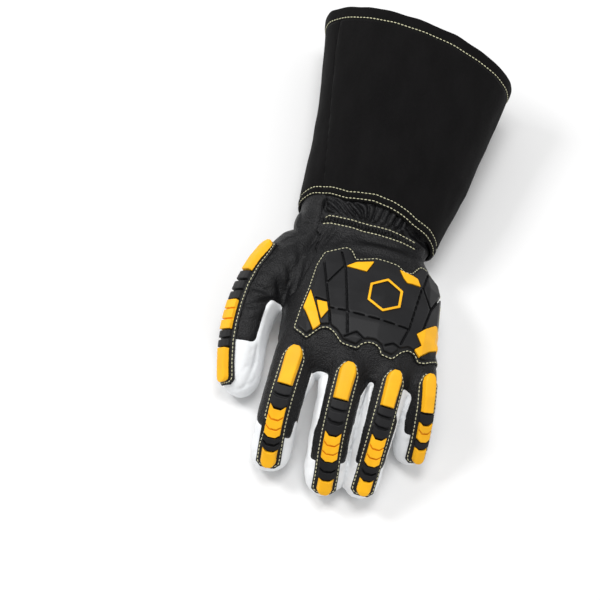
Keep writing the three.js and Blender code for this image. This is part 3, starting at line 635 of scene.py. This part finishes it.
class GLOVE_OT_hand(bpy.types.Operator):
    """Make the goatskin of the hand: black back, white palm and fingertips, and the thumb"""

    bl_idname = "glove.hand"
    bl_label = "Hand leather"

    def execute(self, context):
        sizes = context.scene.glove_sizes
        colours = context.scene.glove_colours
        skin = self.outer_skin(sizes)
        soften(skin, SKIN_PASSES)
        self.refine_wrist(skin)
        self.mark(skin)
        self.shape(skin)
        self.mark_slits(skin)
        self.cut(skin, sizes, colours)
        return {"FINISHED"}

    def outer_skin(self, sizes):
        """The outside of the hand as one skin, closed over the gaps between its panels."""
        nodes = (*BACK_NODES, *FRONT_NODES, *THUMB_NODES)
        swollen = cad_copy(*nodes)
        swollen.normal_update()
        for vert in swollen.verts:
            vert.co += vert.normal * SWELLING
        skin = even_faces(swollen, sizes.skin_mesh)
        bmesh.ops.bisect_plane(
            skin, geom=skin.verts[:] + skin.edges[:] + skin.faces[:], dist=1e-7,
            plane_co=at(0, WRIST_END), plane_no=(0, 1, 0), clear_outer=True,
        )
        keep_shell(skin, min(skin.verts, key=lambda vert: vert.co.x))
        surface = cad_surface(*nodes)
        for vert in skin.verts:
            vert.co = surface.find_nearest(vert.co)[0]
        return skin

    def refine_wrist(self, skin):
        """Halves the faces on the elastic band and the gathers."""
        for above_band in (15, 1):
            edges = []
            for edge in skin.edges:
                place = part_mm((edge.verts[0].co + edge.verts[1].co) / 2)
                if place.z > WRIST_TOP and abs(place.x) < 46:
                    low = along(BAND_EDGE_ROW, place.x) - 1
                    if low < place.y < along(BAND_ROW, place.x) + above_band:
                        edges.append(edge)
            bmesh.ops.subdivide_edges(skin, edges=edges, cuts=1, use_grid_fill=True, smooth=0.0)
        skin.normal_update()

    def mark(self, skin):
        """Keeps how far each vertex is from the line between the colours and from the thumb's seam."""
        black = cad_surface(*BACK_NODES, "thumb_back")
        white = cad_surface(*FRONT_NODES, "thumb_palm")
        hand = cad_surface(*BACK_NODES, *FRONT_NODES)
        thumb = cad_surface(*THUMB_NODES)
        colour_line = skin.verts.layers.float.new("colour_line")
        thumb_line = skin.verts.layers.float.new("thumb_line")
        for vert in skin.verts:
            vert[colour_line] = black.find_nearest(vert.co)[3] - white.find_nearest(vert.co)[3]
            vert[thumb_line] = hand.find_nearest(vert.co)[3] - thumb.find_nearest(vert.co)[3]
        even_out(skin, colour_line, 7)
        even_out(skin, thumb_line, 3)
        self.mark_slits(skin)

    def mark_slits(self, skin):
        """Lays the line between the colours on the outlines of the slits."""
        colour_line = skin.verts.layers.float["colour_line"]
        for vert in skin.verts:
            place = part_mm(vert.co)
            if place.z > SLITS_ABOVE and place.y < SLITS_FROM:
                inside, slit = max((inside_slit(place, slit), slit) for slit in SLITS)
                beside_head = inside > -SLIT_BORDER and place.y > slit.start[1] - slit.head
                if inside > 0 or (beside_head and vert.normal.z > -0.3):
                    vert[colour_line] = inside * MM
        even_out(skin, colour_line, 2)

    def shape(self, skin):
        """Gives the skin its seams, gathers and folds."""
        trims = [cad_surface(f"{digit}_guard") for digit in DIGITS]
        trims += [cad_surface("back_guard"), cad_surface("palm_patch")]
        fingers = [cad_surface(f"{finger}_back", f"{finger}_front") for finger in FINGERS]
        cuff = cad_surface(*CUFF_NODES)
        colour_line = skin.verts.layers.float["colour_line"]
        thumb_line = skin.verts.layers.float["thumb_line"]
        moved = []
        for vert in skin.verts:
            under = self.under_trim(vert, trims)
            if under is None:
                place = part_mm(vert.co)
                seam = min(abs(vert[colour_line]), abs(vert[thumb_line])) / MM
                lift = seam_shape(seam)
                if place.y > WRIST_FROM:
                    lift += wrist_shape(place) * rise(place.y, -8, -2)
                    lift += folded(place, WRIST_FOLDS)
                if vert[colour_line] < 0:
                    lift += soft_folds(place, BLACK_FOLD_DEPTH) + folded(place, THUMB_FOLDS)
                else:
                    lift += soft_folds(place, WHITE_FOLD_DEPTH) + side_folds(place) + folded(place, TIP_SEAM)
                if place.y < FINGER_ROOTS:
                    lift = self.between_fingers(vert, fingers, lift)
                if place.y > CUFF_FROM:
                    room = cuff.ray_cast(vert.co, vert.normal, 8 * MM)[3]
                    if room is not None:
                        lift = min(lift, room / MM - UNDER_CUFF)
                under = vert.co + vert.normal * lift * MM
            moved.append(under)
        for vert, spot in zip(skin.verts, moved):
            vert.co = spot
            vert.co.z = max(vert.co.z, 0.02 * MM)
        soften(skin, 1)

    def under_trim(self, vert, trims):
        """Where the underside of a guard or of the patch lies on a vertex."""
        for trim in trims:
            hit, normal, _, _ = trim.ray_cast(vert.co - vert.normal * 2 * MM, vert.normal, 5.5 * MM)
            if hit is not None and normal.dot(vert.normal) < -0.3:
                return hit - vert.normal * UNDER_TRIM * MM
        return None

    def between_fingers(self, vert, fingers, lift):
        """Presses neighbouring fingers together, with a crease where their leather meets."""
        near = []
        for finger in fingers:
            spot, _, _, gap = finger.find_nearest(vert.co, 12 * MM)
            if spot is not None:
                near.append((gap / MM, spot))
        if len(near) < 2:
            return lift
        near.sort(key=lambda item: item[0])
        (own, _), (other, spot) = near[:2]
        towards = spot - vert.co
        if own < 1 and towards.dot(vert.normal) > 0.6 * towards.length:
            if other < 4.5:
                return max(lift, min(other / 2 + 0.25, 2.2))
            near_web = 1 - rise(-part_mm(vert.co).y, 120, 138)
            return max(lift, min(other / 2 - 0.5, 2.6) * near_web)
        if other < 2.5:
            return lift - CROTCH_DEPTH * ridge(other - own, 1.1)
        return lift

    def cut(self, skin, sizes, colours):
        """Cuts the skin into its panels."""
        colour_line = skin.verts.layers.float["colour_line"]
        thumb_line = skin.verts.layers.float["thumb_line"]
        cut_along(skin, colour_line)
        cut_along(skin, thumb_line)
        black = grain_leather("black goatskin", colours.black_leather, 1.1 * MM, 0.3, 0.3 * MM)
        white = grain_leather(
            "white goatskin", colours.white_leather, 0.9 * MM, 0.5, 0.03 * MM,
            tone=0.02, dirt=0.12, painted_pore_shade=0.06, specular=0.4,
        )
        panels = (
            ("back_leather", -1, -1, black, "goatskin_black", BACK_NODES),
            ("palm_leather", 1, -1, white, "goatskin_white", FRONT_NODES),
            ("thumb_back_leather", -1, 1, black, "goatskin_black", ("thumb_back",)),
            ("thumb_palm_leather", 1, 1, white, "goatskin_white", ("thumb_palm",)),
        )
        for name, colour_side, thumb_side, finish, slot_name, nodes in panels:
            panel = part_of(skin, colour_line=colour_side, thumb_line=thumb_side)
            add_piece(name, panel, finish, nodes, sizes.hand_leather)
        skin.free()


class GLOVE_OT_palm_patch(bpy.types.Operator):
    """Make the gold reinforcement under the palm"""

    bl_idname = "glove.palm_patch"
    bl_label = "Palm patch"

    def execute(self, context):
        colours = context.scene.glove_colours
        patch = rounded("palm_patch", *PATCH_MESH)
        gold = grain_leather(
            "gold goatskin", colours.gold_leather, 0.9 * MM, 0.5, 0.08 * MM,
            tone=0.1, dirt=0.2, painted_pore_shade=0.25, specular=0.4,
        )
        for vert in patch.verts:
            vert.co.z = max(vert.co.z, 0.0)
        add_piece("patch_leather", patch, gold, ("palm_patch",))
        return {"FINISHED"}


def cuff_section(share):
    """The middle of the cuff at a share of its length, and the direction across it."""
    place = share * (len(CUFF_AXIS) - 1)
    index = min(int(place), len(CUFF_AXIS) - 2)
    first, second = CUFF_AXIS[index], CUFF_AXIS[index + 1]
    x, y, z, skew = (a + (b - a) * (place - index) for a, b in zip(first, second))
    turn = math.radians(skew)
    return at(x, y, z), Vector((math.cos(turn), math.sin(turn), 0))


def outward(across, angle):
    """The direction out of the cuff at an angle round its axis."""
    return across * math.cos(angle) + Vector((0, 0, math.sin(angle)))


def cuff_radius(surface, angle, share):
    """From the cuff's axis to its outside, or None past its edge."""
    middle, across = cuff_section(share)
    out = outward(across, angle)
    distance = surface.ray_cast(middle + out * CUFF_REACH * MM, -out, CUFF_REACH * MM)[3]
    return None if distance is None else CUFF_REACH * MM - distance


def cuff_edges(surface, angles):
    """Where the cuff's edge at the wrist lies at each angle, as a share of its length."""
    edges = []
    for angle in angles:
        share = EDGE_STEP
        while cuff_radius(surface, angle, share) is None:
            share += EDGE_STEP
        edges.append(share)
    edges = [min(edges[i], max(edges[i - 2], edges[(i + 2) % len(edges)])) for i in range(len(edges))]
    for _ in range(EDGE_PASSES):
        edges = [(edges[i - 1] + 2 * edges[i] + edges[(i + 1) % len(edges)]) / 4 for i in range(len(edges))]
    return edges


def cuff_stops(length):
    """How far the points of a column are from the edge, in millimetres, closer together at both ends."""
    span = length - NEAR_MOUTH[0] - NEAR_EDGE[-1]
    between = [NEAR_EDGE[-1] + span * step / MIDDLE_ROWS for step in range(1, MIDDLE_ROWS)]
    return [*NEAR_EDGE, *between, *(length - distance for distance in NEAR_MOUTH)]


def cuff_radii(surface, angle, edge, stops, length):
    """The cuff's radii down one column."""
    radii = []
    for stop in stops:
        found = cuff_radius(surface, angle, edge + (1 - edge) * stop / length + INSIDE_EDGE)
        radii.append(found if found is not None else (radii[-1] if radii else FIRST_RADIUS))
    return radii


def even_radii(columns):
    """Averages each radius over its four neighbours."""
    even = []
    for i, column in enumerate(columns):
        before, after = columns[i - 1], columns[(i + 1) % len(columns)]
        last = len(column) - 1
        even.append(
            [
                (before[j] + after[j] + column[max(j - 1, 0)] + column[min(j + 1, last)]) / 4
                for j in range(len(column))
            ]
        )
    return even


def cuff_lift(place, from_edge, from_mouth):
    """Swells of the suede, sunk along its rows of stitches, in millimetres."""
    lift = 1.3 * noise.noise(Vector((place.x * 0.035, place.y * 0.016, place.z * 0.035)))
    lift += 0.5 * noise.noise(Vector((place.x * 0.09, place.y * 0.05, place.z * 0.09)))
    lift -= 0.5 * sum(ridge(from_edge - row, 0.9) for row in CUFF_ROWS)
    lift += 0.4 * ridge(from_edge - 4.1, 1.8) - 0.35 * ridge(from_mouth - HEM_ROW, 0.9)
    return lift


def cuff_columns():
    """Columns of the cuff's outside, from its edge at the wrist to its mouth.

    Each place has its outward direction and its distances from the edge and from the mouth, in millimetres.
    """
    surface = cad_surface(*CUFF_NODES, "cuff_hem")
    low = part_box("cuff_palm")[0].z
    angles = [2 * math.pi * index / CUFF_COLUMNS for index in range(CUFF_COLUMNS)]
    edges = cuff_edges(surface, angles)
    lengths = [(1 - edge) * CUFF_LENGTH for edge in edges]
    fields = [
        cuff_radii(surface, angle, edge, cuff_stops(length), length)
        for angle, edge, length in zip(angles, edges, lengths)
    ]
    for _ in range(CUFF_PASSES):
        fields = even_radii(fields)
    columns = []
    for angle, edge, length, radii in zip(angles, edges, lengths, fields):
        column = []
        for stop, size in zip(cuff_stops(length), radii):
            middle, across = cuff_section(edge + (1 - edge) * stop / length)
            out = outward(across, angle)
            spot = middle + out * size
            spot = spot + out * cuff_lift(part_mm(spot), stop, length - stop) * MM
            mouth = 1 - rise(length - stop, 1, 9)
            spot.y += 0.9 * noise.noise(Vector((math.cos(angle) * 4, math.sin(angle) * 4, 2.0))) * mouth * MM
            spot.z = max(spot.z, low)
            column.append((spot, out, stop, length - stop))
        columns.append(column)
    return columns


def join_columns(form, columns, closed=False):
    """Faces between columns of points that go round, and from their last row to the first where closed."""
    verts = [[form.verts.new(point) for point in column] for column in columns]
    rows = len(verts[0])
    for i, column in enumerate(verts):
        before = verts[i - 1]
        for j in range(rows if closed else rows - 1):
            k = (j + 1) % rows
            form.faces.new((before[j], before[k], column[k], column[j]))


class GLOVE_OT_cuff(bpy.types.Operator):
    """Make the suede gauntlet: two panels and the folded hem"""

    bl_idname = "glove.cuff"
    bl_label = "Cuff"

    def execute(self, context):
        sizes = context.scene.glove_sizes
        colours = context.scene.glove_colours
        suede = split_leather("black suede", colours.suede)
        columns = cuff_columns()
        cuff = self.cuff_form(columns)
        back = cad_surface("cuff_back")
        palm = cad_surface("cuff_palm")
        seam_line = cuff.verts.layers.float.new("seam_line")
        for vert in cuff.verts:
            vert[seam_line] = back.find_nearest(vert.co)[3] - palm.find_nearest(vert.co)[3]
        even_out(cuff, seam_line, 4)
        for vert in cuff.verts:
            vert.co -= vert.normal * 0.6 * ridge(vert[seam_line] / MM, 1.4) * MM
        cut_along(cuff, seam_line)
        for name, side, node in (("cuff_back_suede", -1, "cuff_back"), ("cuff_palm_suede", 1, "cuff_palm")):
            panel = part_of(cuff, seam_line=side)
            add_piece(name, panel, suede, (node,), sizes.cuff_leather)
        cuff.free()
        hem = self.hem_form(columns, sizes.cuff_leather + 0.9 * MM)
        add_piece("cuff_hem_fold", hem, suede, ("cuff_hem",))
        return {"FINISHED"}

    def cuff_form(self, columns):
        """The outside of the cuff from the wrist to the hem."""
        form = bmesh.new()
        rows = []
        for column in columns:
            rows.append([spot for spot, _, _, from_mouth in column if from_mouth > HEM_LENGTH - 0.01])
        join_columns(form, rows)
        form.normal_update()
        return form

    def hem_form(self, columns, thickness):
        """The hem, folded over the edge of the mouth."""
        form = bmesh.new()
        rows = []
        for column in columns:
            outer = [(spot, out) for spot, out, _, from_mouth in column if from_mouth < HEM_LENGTH + 0.01]
            spot, out = outer[-1]
            along_axis = (outer[-1][0] - outer[-2][0]).normalized()
            lip = []
            for angle in (45, 90, 135):
                turn = math.radians(angle)
                inwards = out * (1 - math.cos(turn)) * thickness / 2
                lip.append(spot - inwards + along_axis * math.sin(turn) * HEM_LIP * MM)
            inner = [point - away * thickness for point, away in reversed(outer)]
            rows.append([point for point, _ in outer] + lip + inner)
        join_columns(form, rows, True)
        form.normal_update()
        return form


class GLOVE_OT_pull_loop(bpy.types.Operator):
    """Make the white leather pull loop over the hem"""

    bl_idname = "glove.pull_loop"
    bl_label = "Pull loop"

    def execute(self, context):
        loop = rounded("pull_loop", *LOOP_MESH)
        for vert in loop.verts:
            vert.co.z = max(vert.co.z, 0.0)
        white = bpy.data.materials["white goatskin"]
        add_piece("pull_loop_leather", loop, white, ("pull_loop",))
        return {"FINISHED"}


class GLOVE_OT_back_guard(bpy.types.Operator):
    """Make the guard over the back of the hand, with its yellow inlays and badge"""

    bl_idname = "glove.back_guard"
    bl_label = "Back guard"

    def execute(self, context):
        colours = context.scene.glove_colours
        black = moulded_rubber("black rubber", colours.black_rubber, 0.42)
        yellow = moulded_rubber("yellow rubber", colours.yellow_rubber, 0.4, 1.06)
        guard = rounded("back_guard", *BACK_GUARD_MESH)
        add_piece("back_guard_rubber", guard, black, ("back_guard",))
        for place in ("thumb_side", "thumb_inner", "wrist", "wrist_outer", "knuckle"):
            node = f"accent_{place}"
            add_piece(f"inlay_{place}", rounded(node, *INLAY_MESH), yellow, (node,))
        add_piece("badge_ring", rounded("badge", *BADGE_MESH), yellow, ("badge",))
        return {"FINISHED"}


class GLOVE_OT_digit_guards(bpy.types.Operator):
    """Make the guards of the fingers and the thumb"""

    bl_idname = "glove.digit_guards"
    bl_label = "Digit guards"

    def execute(self, context):
        black = bpy.data.materials["black rubber"]
        yellow = bpy.data.materials["yellow rubber"]
        for digit in DIGITS:
            bars = "bars" if digit == "thumb" else "chevrons"
            for part, mesh, finish, slot_name in (
                ("guard", DIGIT_GUARD_MESH, black, "rubber_black"),
                ("knuckle_pad", PAD_MESH, yellow, "rubber_yellow"),
                (bars, BAR_MESH, yellow, "rubber_yellow"),
                ("tip_pad", PAD_MESH, yellow, "rubber_yellow"),
            ):
                node = f"{digit}_{part}"
                add_piece(f"{node}_rubber", rounded(node, *mesh), finish, (node,))
        return {"FINISHED"}


# Stitches.


def spaced(points, pitch, closed=False):
    """Evenly spaced places on a path, each with its direction."""
    path = list(points) + ([points[0]] if closed else [])
    lengths = [0.0]
    for first, second in zip(path, path[1:]):
        lengths.append(lengths[-1] + (second - first).length)
    count = max(round(lengths[-1] / pitch), 1)
    places = []
    index = 0
    for step in range(count):
        wanted = (step + 0.5) * lengths[-1] / count
        while lengths[index + 1] < wanted:
            index += 1
        first, second = path[index], path[index + 1]
        share = (wanted - lengths[index]) / max(lengths[index + 1] - lengths[index], 1e-9)
        places.append((first.lerp(second, share), (second - first).normalized()))
    return places


def sew(form, points, surface, sizes, closed=False):
    """Adds a row of stitches along a path on a surface."""
    for spot, direction in spaced(points, sizes.stitch_pitch, closed):
        nearest, normal, _, gap = surface.find_nearest(spot)
        if gap > SEWING_REACH:
            continue
        direction = (direction - normal * direction.dot(normal)).normalized()
        side = normal.cross(direction)
        turn = Matrix((direction, side, normal)).transposed().to_4x4()
        size = Matrix.Diagonal((sizes.stitch_length, sizes.stitch_width, sizes.stitch_width * 0.7, 1))
        bmesh.ops.create_uvsphere(
            form, u_segments=6, v_segments=4, radius=0.5,
            matrix=Matrix.Translation(nearest + normal * sizes.stitch_width * 0.12) @ turn @ size
            @ Matrix.Rotation(math.pi / 2, 4, "Y"),
        )


def rim_loop(node, under, reach):
    """The longest loop round a node's underside: its corners, with each edge's directions inwards and up."""
    form = cad_copy(node)
    lower = set()
    for face in form.faces:
        _, normal, _, gap = under.find_nearest(face.calc_center_median())
        if gap < reach and face.normal.dot(normal) < -0.4:
            lower.add(face)
    # A dict keeps the edges in their order, so each run starts the row at the same one.
    rim = (edge for edge in form.edges if len({face in lower for face in edge.link_faces}) == 2)
    waiting = dict.fromkeys(rim)
    loops = []
    while waiting:
        edge = next(iter(waiting))
        del waiting[edge]
        vert = edge.verts[0]
        loop = []
        while edge:
            face = next(face for face in edge.link_faces if face in lower)
            inward = face.calc_center_median() - vert.co
            vert = edge.other_vert(vert)
            run = edge.verts[1].co - edge.verts[0].co
            inward -= run * inward.dot(run) / max(run.length_squared, 1e-12)
            loop.append((vert.co.copy(), inward.normalized(), -face.normal))
            edge = next((other for other in vert.link_edges if other in waiting), None)
            waiting.pop(edge, None)
        loops.append(loop)
    form.free()
    return max(loops, key=len)


def rim_row(node, under, reach, surface, inset):
    """A closed row on top of a piece, everywhere as far inside the rim of its underside."""
    loop = rim_loop(node, under, reach)
    corners = []
    for (corner, inward, up), (_, next_inward, next_up) in zip(loop, loop[1:] + loop[:1]):
        mitre = (inward + next_inward) / max(1 + inward.dot(next_inward), 0.5)
        corners.append((corner + mitre * inset, (up + next_up).normalized()))
    path = []
    for (first, first_up), (second, second_up) in zip(corners, corners[1:] + corners[:1]):
        steps = max(round((second - first).length / ROW_STEP), 1)
        for step in range(steps):
            path.append((first.lerp(second, step / steps), first_up.lerp(second_up, step / steps)))
    for _ in range(ROW_SMOOTHING):
        path = [
            ((path[i - 1][0] + spot * 2 + path[(i + 1) % len(path)][0]) / 4, up)
            for i, (spot, up) in enumerate(path)
        ]
    row = []
    for spot, up in path:
        hit = surface.ray_cast(spot + up * 4 * MM, -up, 6 * MM)[0]
        if hit is not None:
            row.append(hit)
    return row


def dropped(surface, row):
    """A row seen from above, laid on the top of a surface."""
    path = []
    for (x0, y0), (x1, y1) in zip(row, row[1:]):
        steps = max(round(math.hypot(x1 - x0, y1 - y0) / 1.2), 1)
        for step in range(steps):
            share = step / steps
            above = at(x0 + (x1 - x0) * share, y0 + (y1 - y0) * share, ABOVE_ALL)
            hit = surface.ray_cast(above, (0, 0, -1))[0]
            if hit is not None:
                path.append(hit)
    return path


class GLOVE_OT_stitching(bpy.types.Operator):
    """Sew the guards, the wrist, the hem and the patch"""

    bl_idname = "glove.stitching"
    bl_label = "Stitching"

    def execute(self, context):
        self.sizes = context.scene.glove_sizes
        colours = context.scene.glove_colours
        pale = sewing_thread("pale thread", colours.pale_thread)
        gold = sewing_thread("gold thread", colours.gold_thread)
        leather = cad_surface(*BACK_NODES, *FRONT_NODES, *THUMB_NODES)
        for digit in DIGITS:
            self.sew_guard(f"{digit}_guard", leather, DIGIT_RIM_REACH, DIGIT_ROW_INSET, pale)
        self.sew_guard("back_guard", leather, RIM_REACH, BACK_ROW_INSET, pale)
        self.sew_band(pale)
        self.sew_cuff(pale)
        self.sew_patch(leather, gold)
        return {"FINISHED"}

    def sew_guard(self, node, leather, reach, inset, thread):
        """One row all round a guard's flange."""
        rows = bmesh.new()
        surface = surface_of(f"{node}_rubber")
        sew(rows, rim_row(node, leather, reach, surface, inset), surface, self.sizes, True)
        add_piece(f"{node}_stitches", rows, thread)

    def sew_band(self, thread):
        """Two rows that hold the elastic band."""
        rows = bmesh.new()
        skin = surface_of(*LEATHER_PIECES)
        for row in (BAND_ROW, BAND_EDGE_ROW):
            sew(rows, dropped(skin, row), skin, self.sizes)
        add_piece("band_stitches", rows, thread)

    def sew_cuff(self, thread):
        """Two rows along the cuff's edge at the wrist, and one round its mouth."""
        columns = cuff_columns()
        wrist = bmesh.new()
        cuff = surface_of("cuff_back_suede", "cuff_palm_suede")
        for wanted in CUFF_ROWS:
            path = [min(column, key=lambda item: abs(item[2] - wanted))[0] for column in columns]
            sew(wrist, path, cuff, self.sizes, True)
        add_piece("wrist_stitches", wrist, thread)
        mouth = bmesh.new()
        path = [min(column, key=lambda item: abs(item[3] - HEM_ROW))[0] for column in columns]
        sew(mouth, path, surface_of("cuff_hem_fold"), self.sizes, True)
        add_piece("hem_stitches", mouth, thread)

    def sew_patch(self, leather, thread):
        """Double rows round the patch and its slot."""
        rows = bmesh.new()
        surface = surface_of("patch_leather")
        for inset in PATCH_ROW_INSETS:
            row = rim_row("palm_patch", leather, RIM_REACH, surface, inset)
            sew(rows, row, surface, self.sizes, True)
        add_piece("patch_stitches", rows, thread)


# Stage.


class GLOVE_OT_stage(bpy.types.Operator):
    """Make the pale floor, the soft lights and the camera"""

    bl_idname = "glove.stage"
    bl_label = "Stage"

    def execute(self, context):
        scene = context.scene
        paper = Finish("paper")
        floor_form = bmesh.new()
        under = Matrix.Translation((0, 0, -FLOOR_GAP))
        bmesh.ops.create_grid(floor_form, x_segments=1, y_segments=1, size=FLOOR_HALF, matrix=under)
        mesh = bpy.data.meshes.new("floor")
        floor_form.to_mesh(mesh)
        floor_form.free()
        tint = paper.blend(paper.noise(4, 2), (0.86, 0.86, 0.86, 1), (0.9, 0.9, 0.9, 1))
        mesh.materials.append(paper.set(Base_Color=tint, Roughness=0.9))
        floor = bpy.data.objects.new("floor", mesh)
        scene.collection.objects.link(floor)
        self.add_lights(scene)
        self.add_camera(scene)
        scene.view_settings.view_transform = "Standard"
        return {"FINISHED"}

    def add_lights(self, scene):
        """A softbox overhead, a key from the left and a fill from the right."""
        world = bpy.data.worlds.new("studio")
        world.use_nodes = True
        world.node_tree.nodes["Background"].inputs["Color"].default_value = (1, 1, 1, 1)
        world.node_tree.nodes["Background"].inputs["Strength"].default_value = SURROUND
        scene.world = world
        for name, place, size, power in LIGHTS:
            light = bpy.data.lights.new(name, "AREA")
            light.shape = "SQUARE"
            light.size = size
            light.energy = power
            lamp = bpy.data.objects.new(name, light)
            lamp.location = place
            lamp.rotation_euler = (-Vector(place)).to_track_quat("-Z", "Y").to_euler()
            scene.collection.objects.link(lamp)

    def add_camera(self, scene):
        """The photograph's view: from above the fingers, turned a little."""
        camera = bpy.data.cameras.new("camera")
        camera.lens = 133.33
        camera.sensor_width = 36.0
        camera.clip_end = 20
        eye = bpy.data.objects.new("camera", camera)
        height = math.radians(CAMERA_HEIGHT)
        roll = math.radians(CAMERA_ROLL)
        away = Vector((0, -math.cos(height), math.sin(height)))
        upward = Vector((0, math.sin(height), math.cos(height)))
        across = Vector((1, 0, 0))
        right = across * math.cos(roll) + upward * math.sin(roll)
        top = upward * math.cos(roll) - across * math.sin(roll)
        turn = Matrix((right, top, away)).transposed().to_4x4()
        eye.matrix_world = Matrix.Translation(CAMERA_PLACE) @ turn
        scene.collection.objects.link(eye)
        scene.camera = eye


# Settings and panel.


def length_property(name, description, default):
    """A length in metres."""
    return bpy.props.FloatProperty(
        name=name, description=description, default=default, unit="LENGTH", precision=5
    )


def colour_property(name, description, default):
    """A colour."""
    return bpy.props.FloatVectorProperty(
        name=name, description=description, default=default, subtype="COLOR", size=4, min=0, max=1
    )


class GloveSizes(bpy.types.PropertyGroup):
    """Sizes of leather and thread."""

    skin_mesh: length_property("Skin mesh", "Size of the hand leather's faces", 1.25 * MM)
    hand_leather: length_property("Hand leather", "Thickness of the goatskin", 1.4 * MM)
    cuff_leather: length_property("Cuff leather", "Thickness of the split leather", 2.0 * MM)
    stitch_pitch: length_property("Stitch pitch", "From one stitch to the next", 2.8 * MM)
    stitch_length: length_property("Stitch length", "Length of one stitch", 2.15 * MM)
    stitch_width: length_property("Thread", "Thickness of the thread", 0.75 * MM)


class GloveColours(bpy.types.PropertyGroup):
    """Colours of leather, rubber and thread."""

    black_leather: colour_property("Black goatskin", "Back of the hand", (0.006, 0.006, 0.0068, 1))
    white_leather: colour_property("White goatskin", "Palm and fingertips", (0.87, 0.885, 0.90, 1))
    gold_leather: colour_property("Gold goatskin", "Palm patch", (0.65, 0.32, 0.018, 1))
    suede: colour_property("Split leather", "Cuff", (0.0034, 0.0031, 0.0033, 1))
    black_rubber: colour_property("Black rubber", "Guards", (0.011, 0.011, 0.012, 1))
    yellow_rubber: colour_property("Yellow rubber", "Pads and inlays", (0.96, 0.47, 0.012, 1))
    pale_thread: colour_property("Pale thread", "Guard and cuff seams", (0.72, 0.70, 0.46, 1))
    gold_thread: colour_property("Gold thread", "Patch seams", (0.85, 0.55, 0.12, 1))


class GLOVE_PT_sidebar(bpy.types.Panel):
    """The glove's pieces and their sizes and colours."""

    bl_idname = "GLOVE_PT_sidebar"
    bl_label = "Welding glove"
    bl_space_type = "VIEW_3D"
    bl_region_type = "UI"
    bl_category = "Glove"

    def draw(self, context):
        for group in (context.scene.glove_sizes, context.scene.glove_colours):
            for name in group.__annotations__:
                self.layout.prop(group, name)
        for operator in OPERATORS:
            self.layout.operator(operator.bl_idname)


OPERATORS = (
    GLOVE_OT_stage,
    GLOVE_OT_hand,
    GLOVE_OT_palm_patch,
    GLOVE_OT_cuff,
    GLOVE_OT_pull_loop,
    GLOVE_OT_back_guard,
    GLOVE_OT_digit_guards,
    GLOVE_OT_stitching,
)
CLASSES = (GloveSizes, GloveColours) + OPERATORS + (GLOVE_PT_sidebar,)


def register():
    """Registers the classes and their settings."""
    for item in CLASSES:
        bpy.utils.register_class(item)
    bpy.types.Scene.glove_sizes = bpy.props.PointerProperty(type=GloveSizes)
    bpy.types.Scene.glove_colours = bpy.props.PointerProperty(type=GloveColours)


def unregister():
    """Removes the classes and their settings."""
    del bpy.types.Scene.glove_sizes
    del bpy.types.Scene.glove_colours
    for item in reversed(CLASSES):
        bpy.utils.unregister_class(item)


def main():
    """Builds the glove and its stage."""
    register()
    for operator in (
        bpy.ops.glove.stage,
        bpy.ops.glove.hand,
        bpy.ops.glove.palm_patch,
        bpy.ops.glove.cuff,
        bpy.ops.glove.pull_loop,
        bpy.ops.glove.back_guard,
        bpy.ops.glove.digit_guards,
        bpy.ops.glove.stitching,
    ):
        operator()


if __name__ == "__main__":
    main()
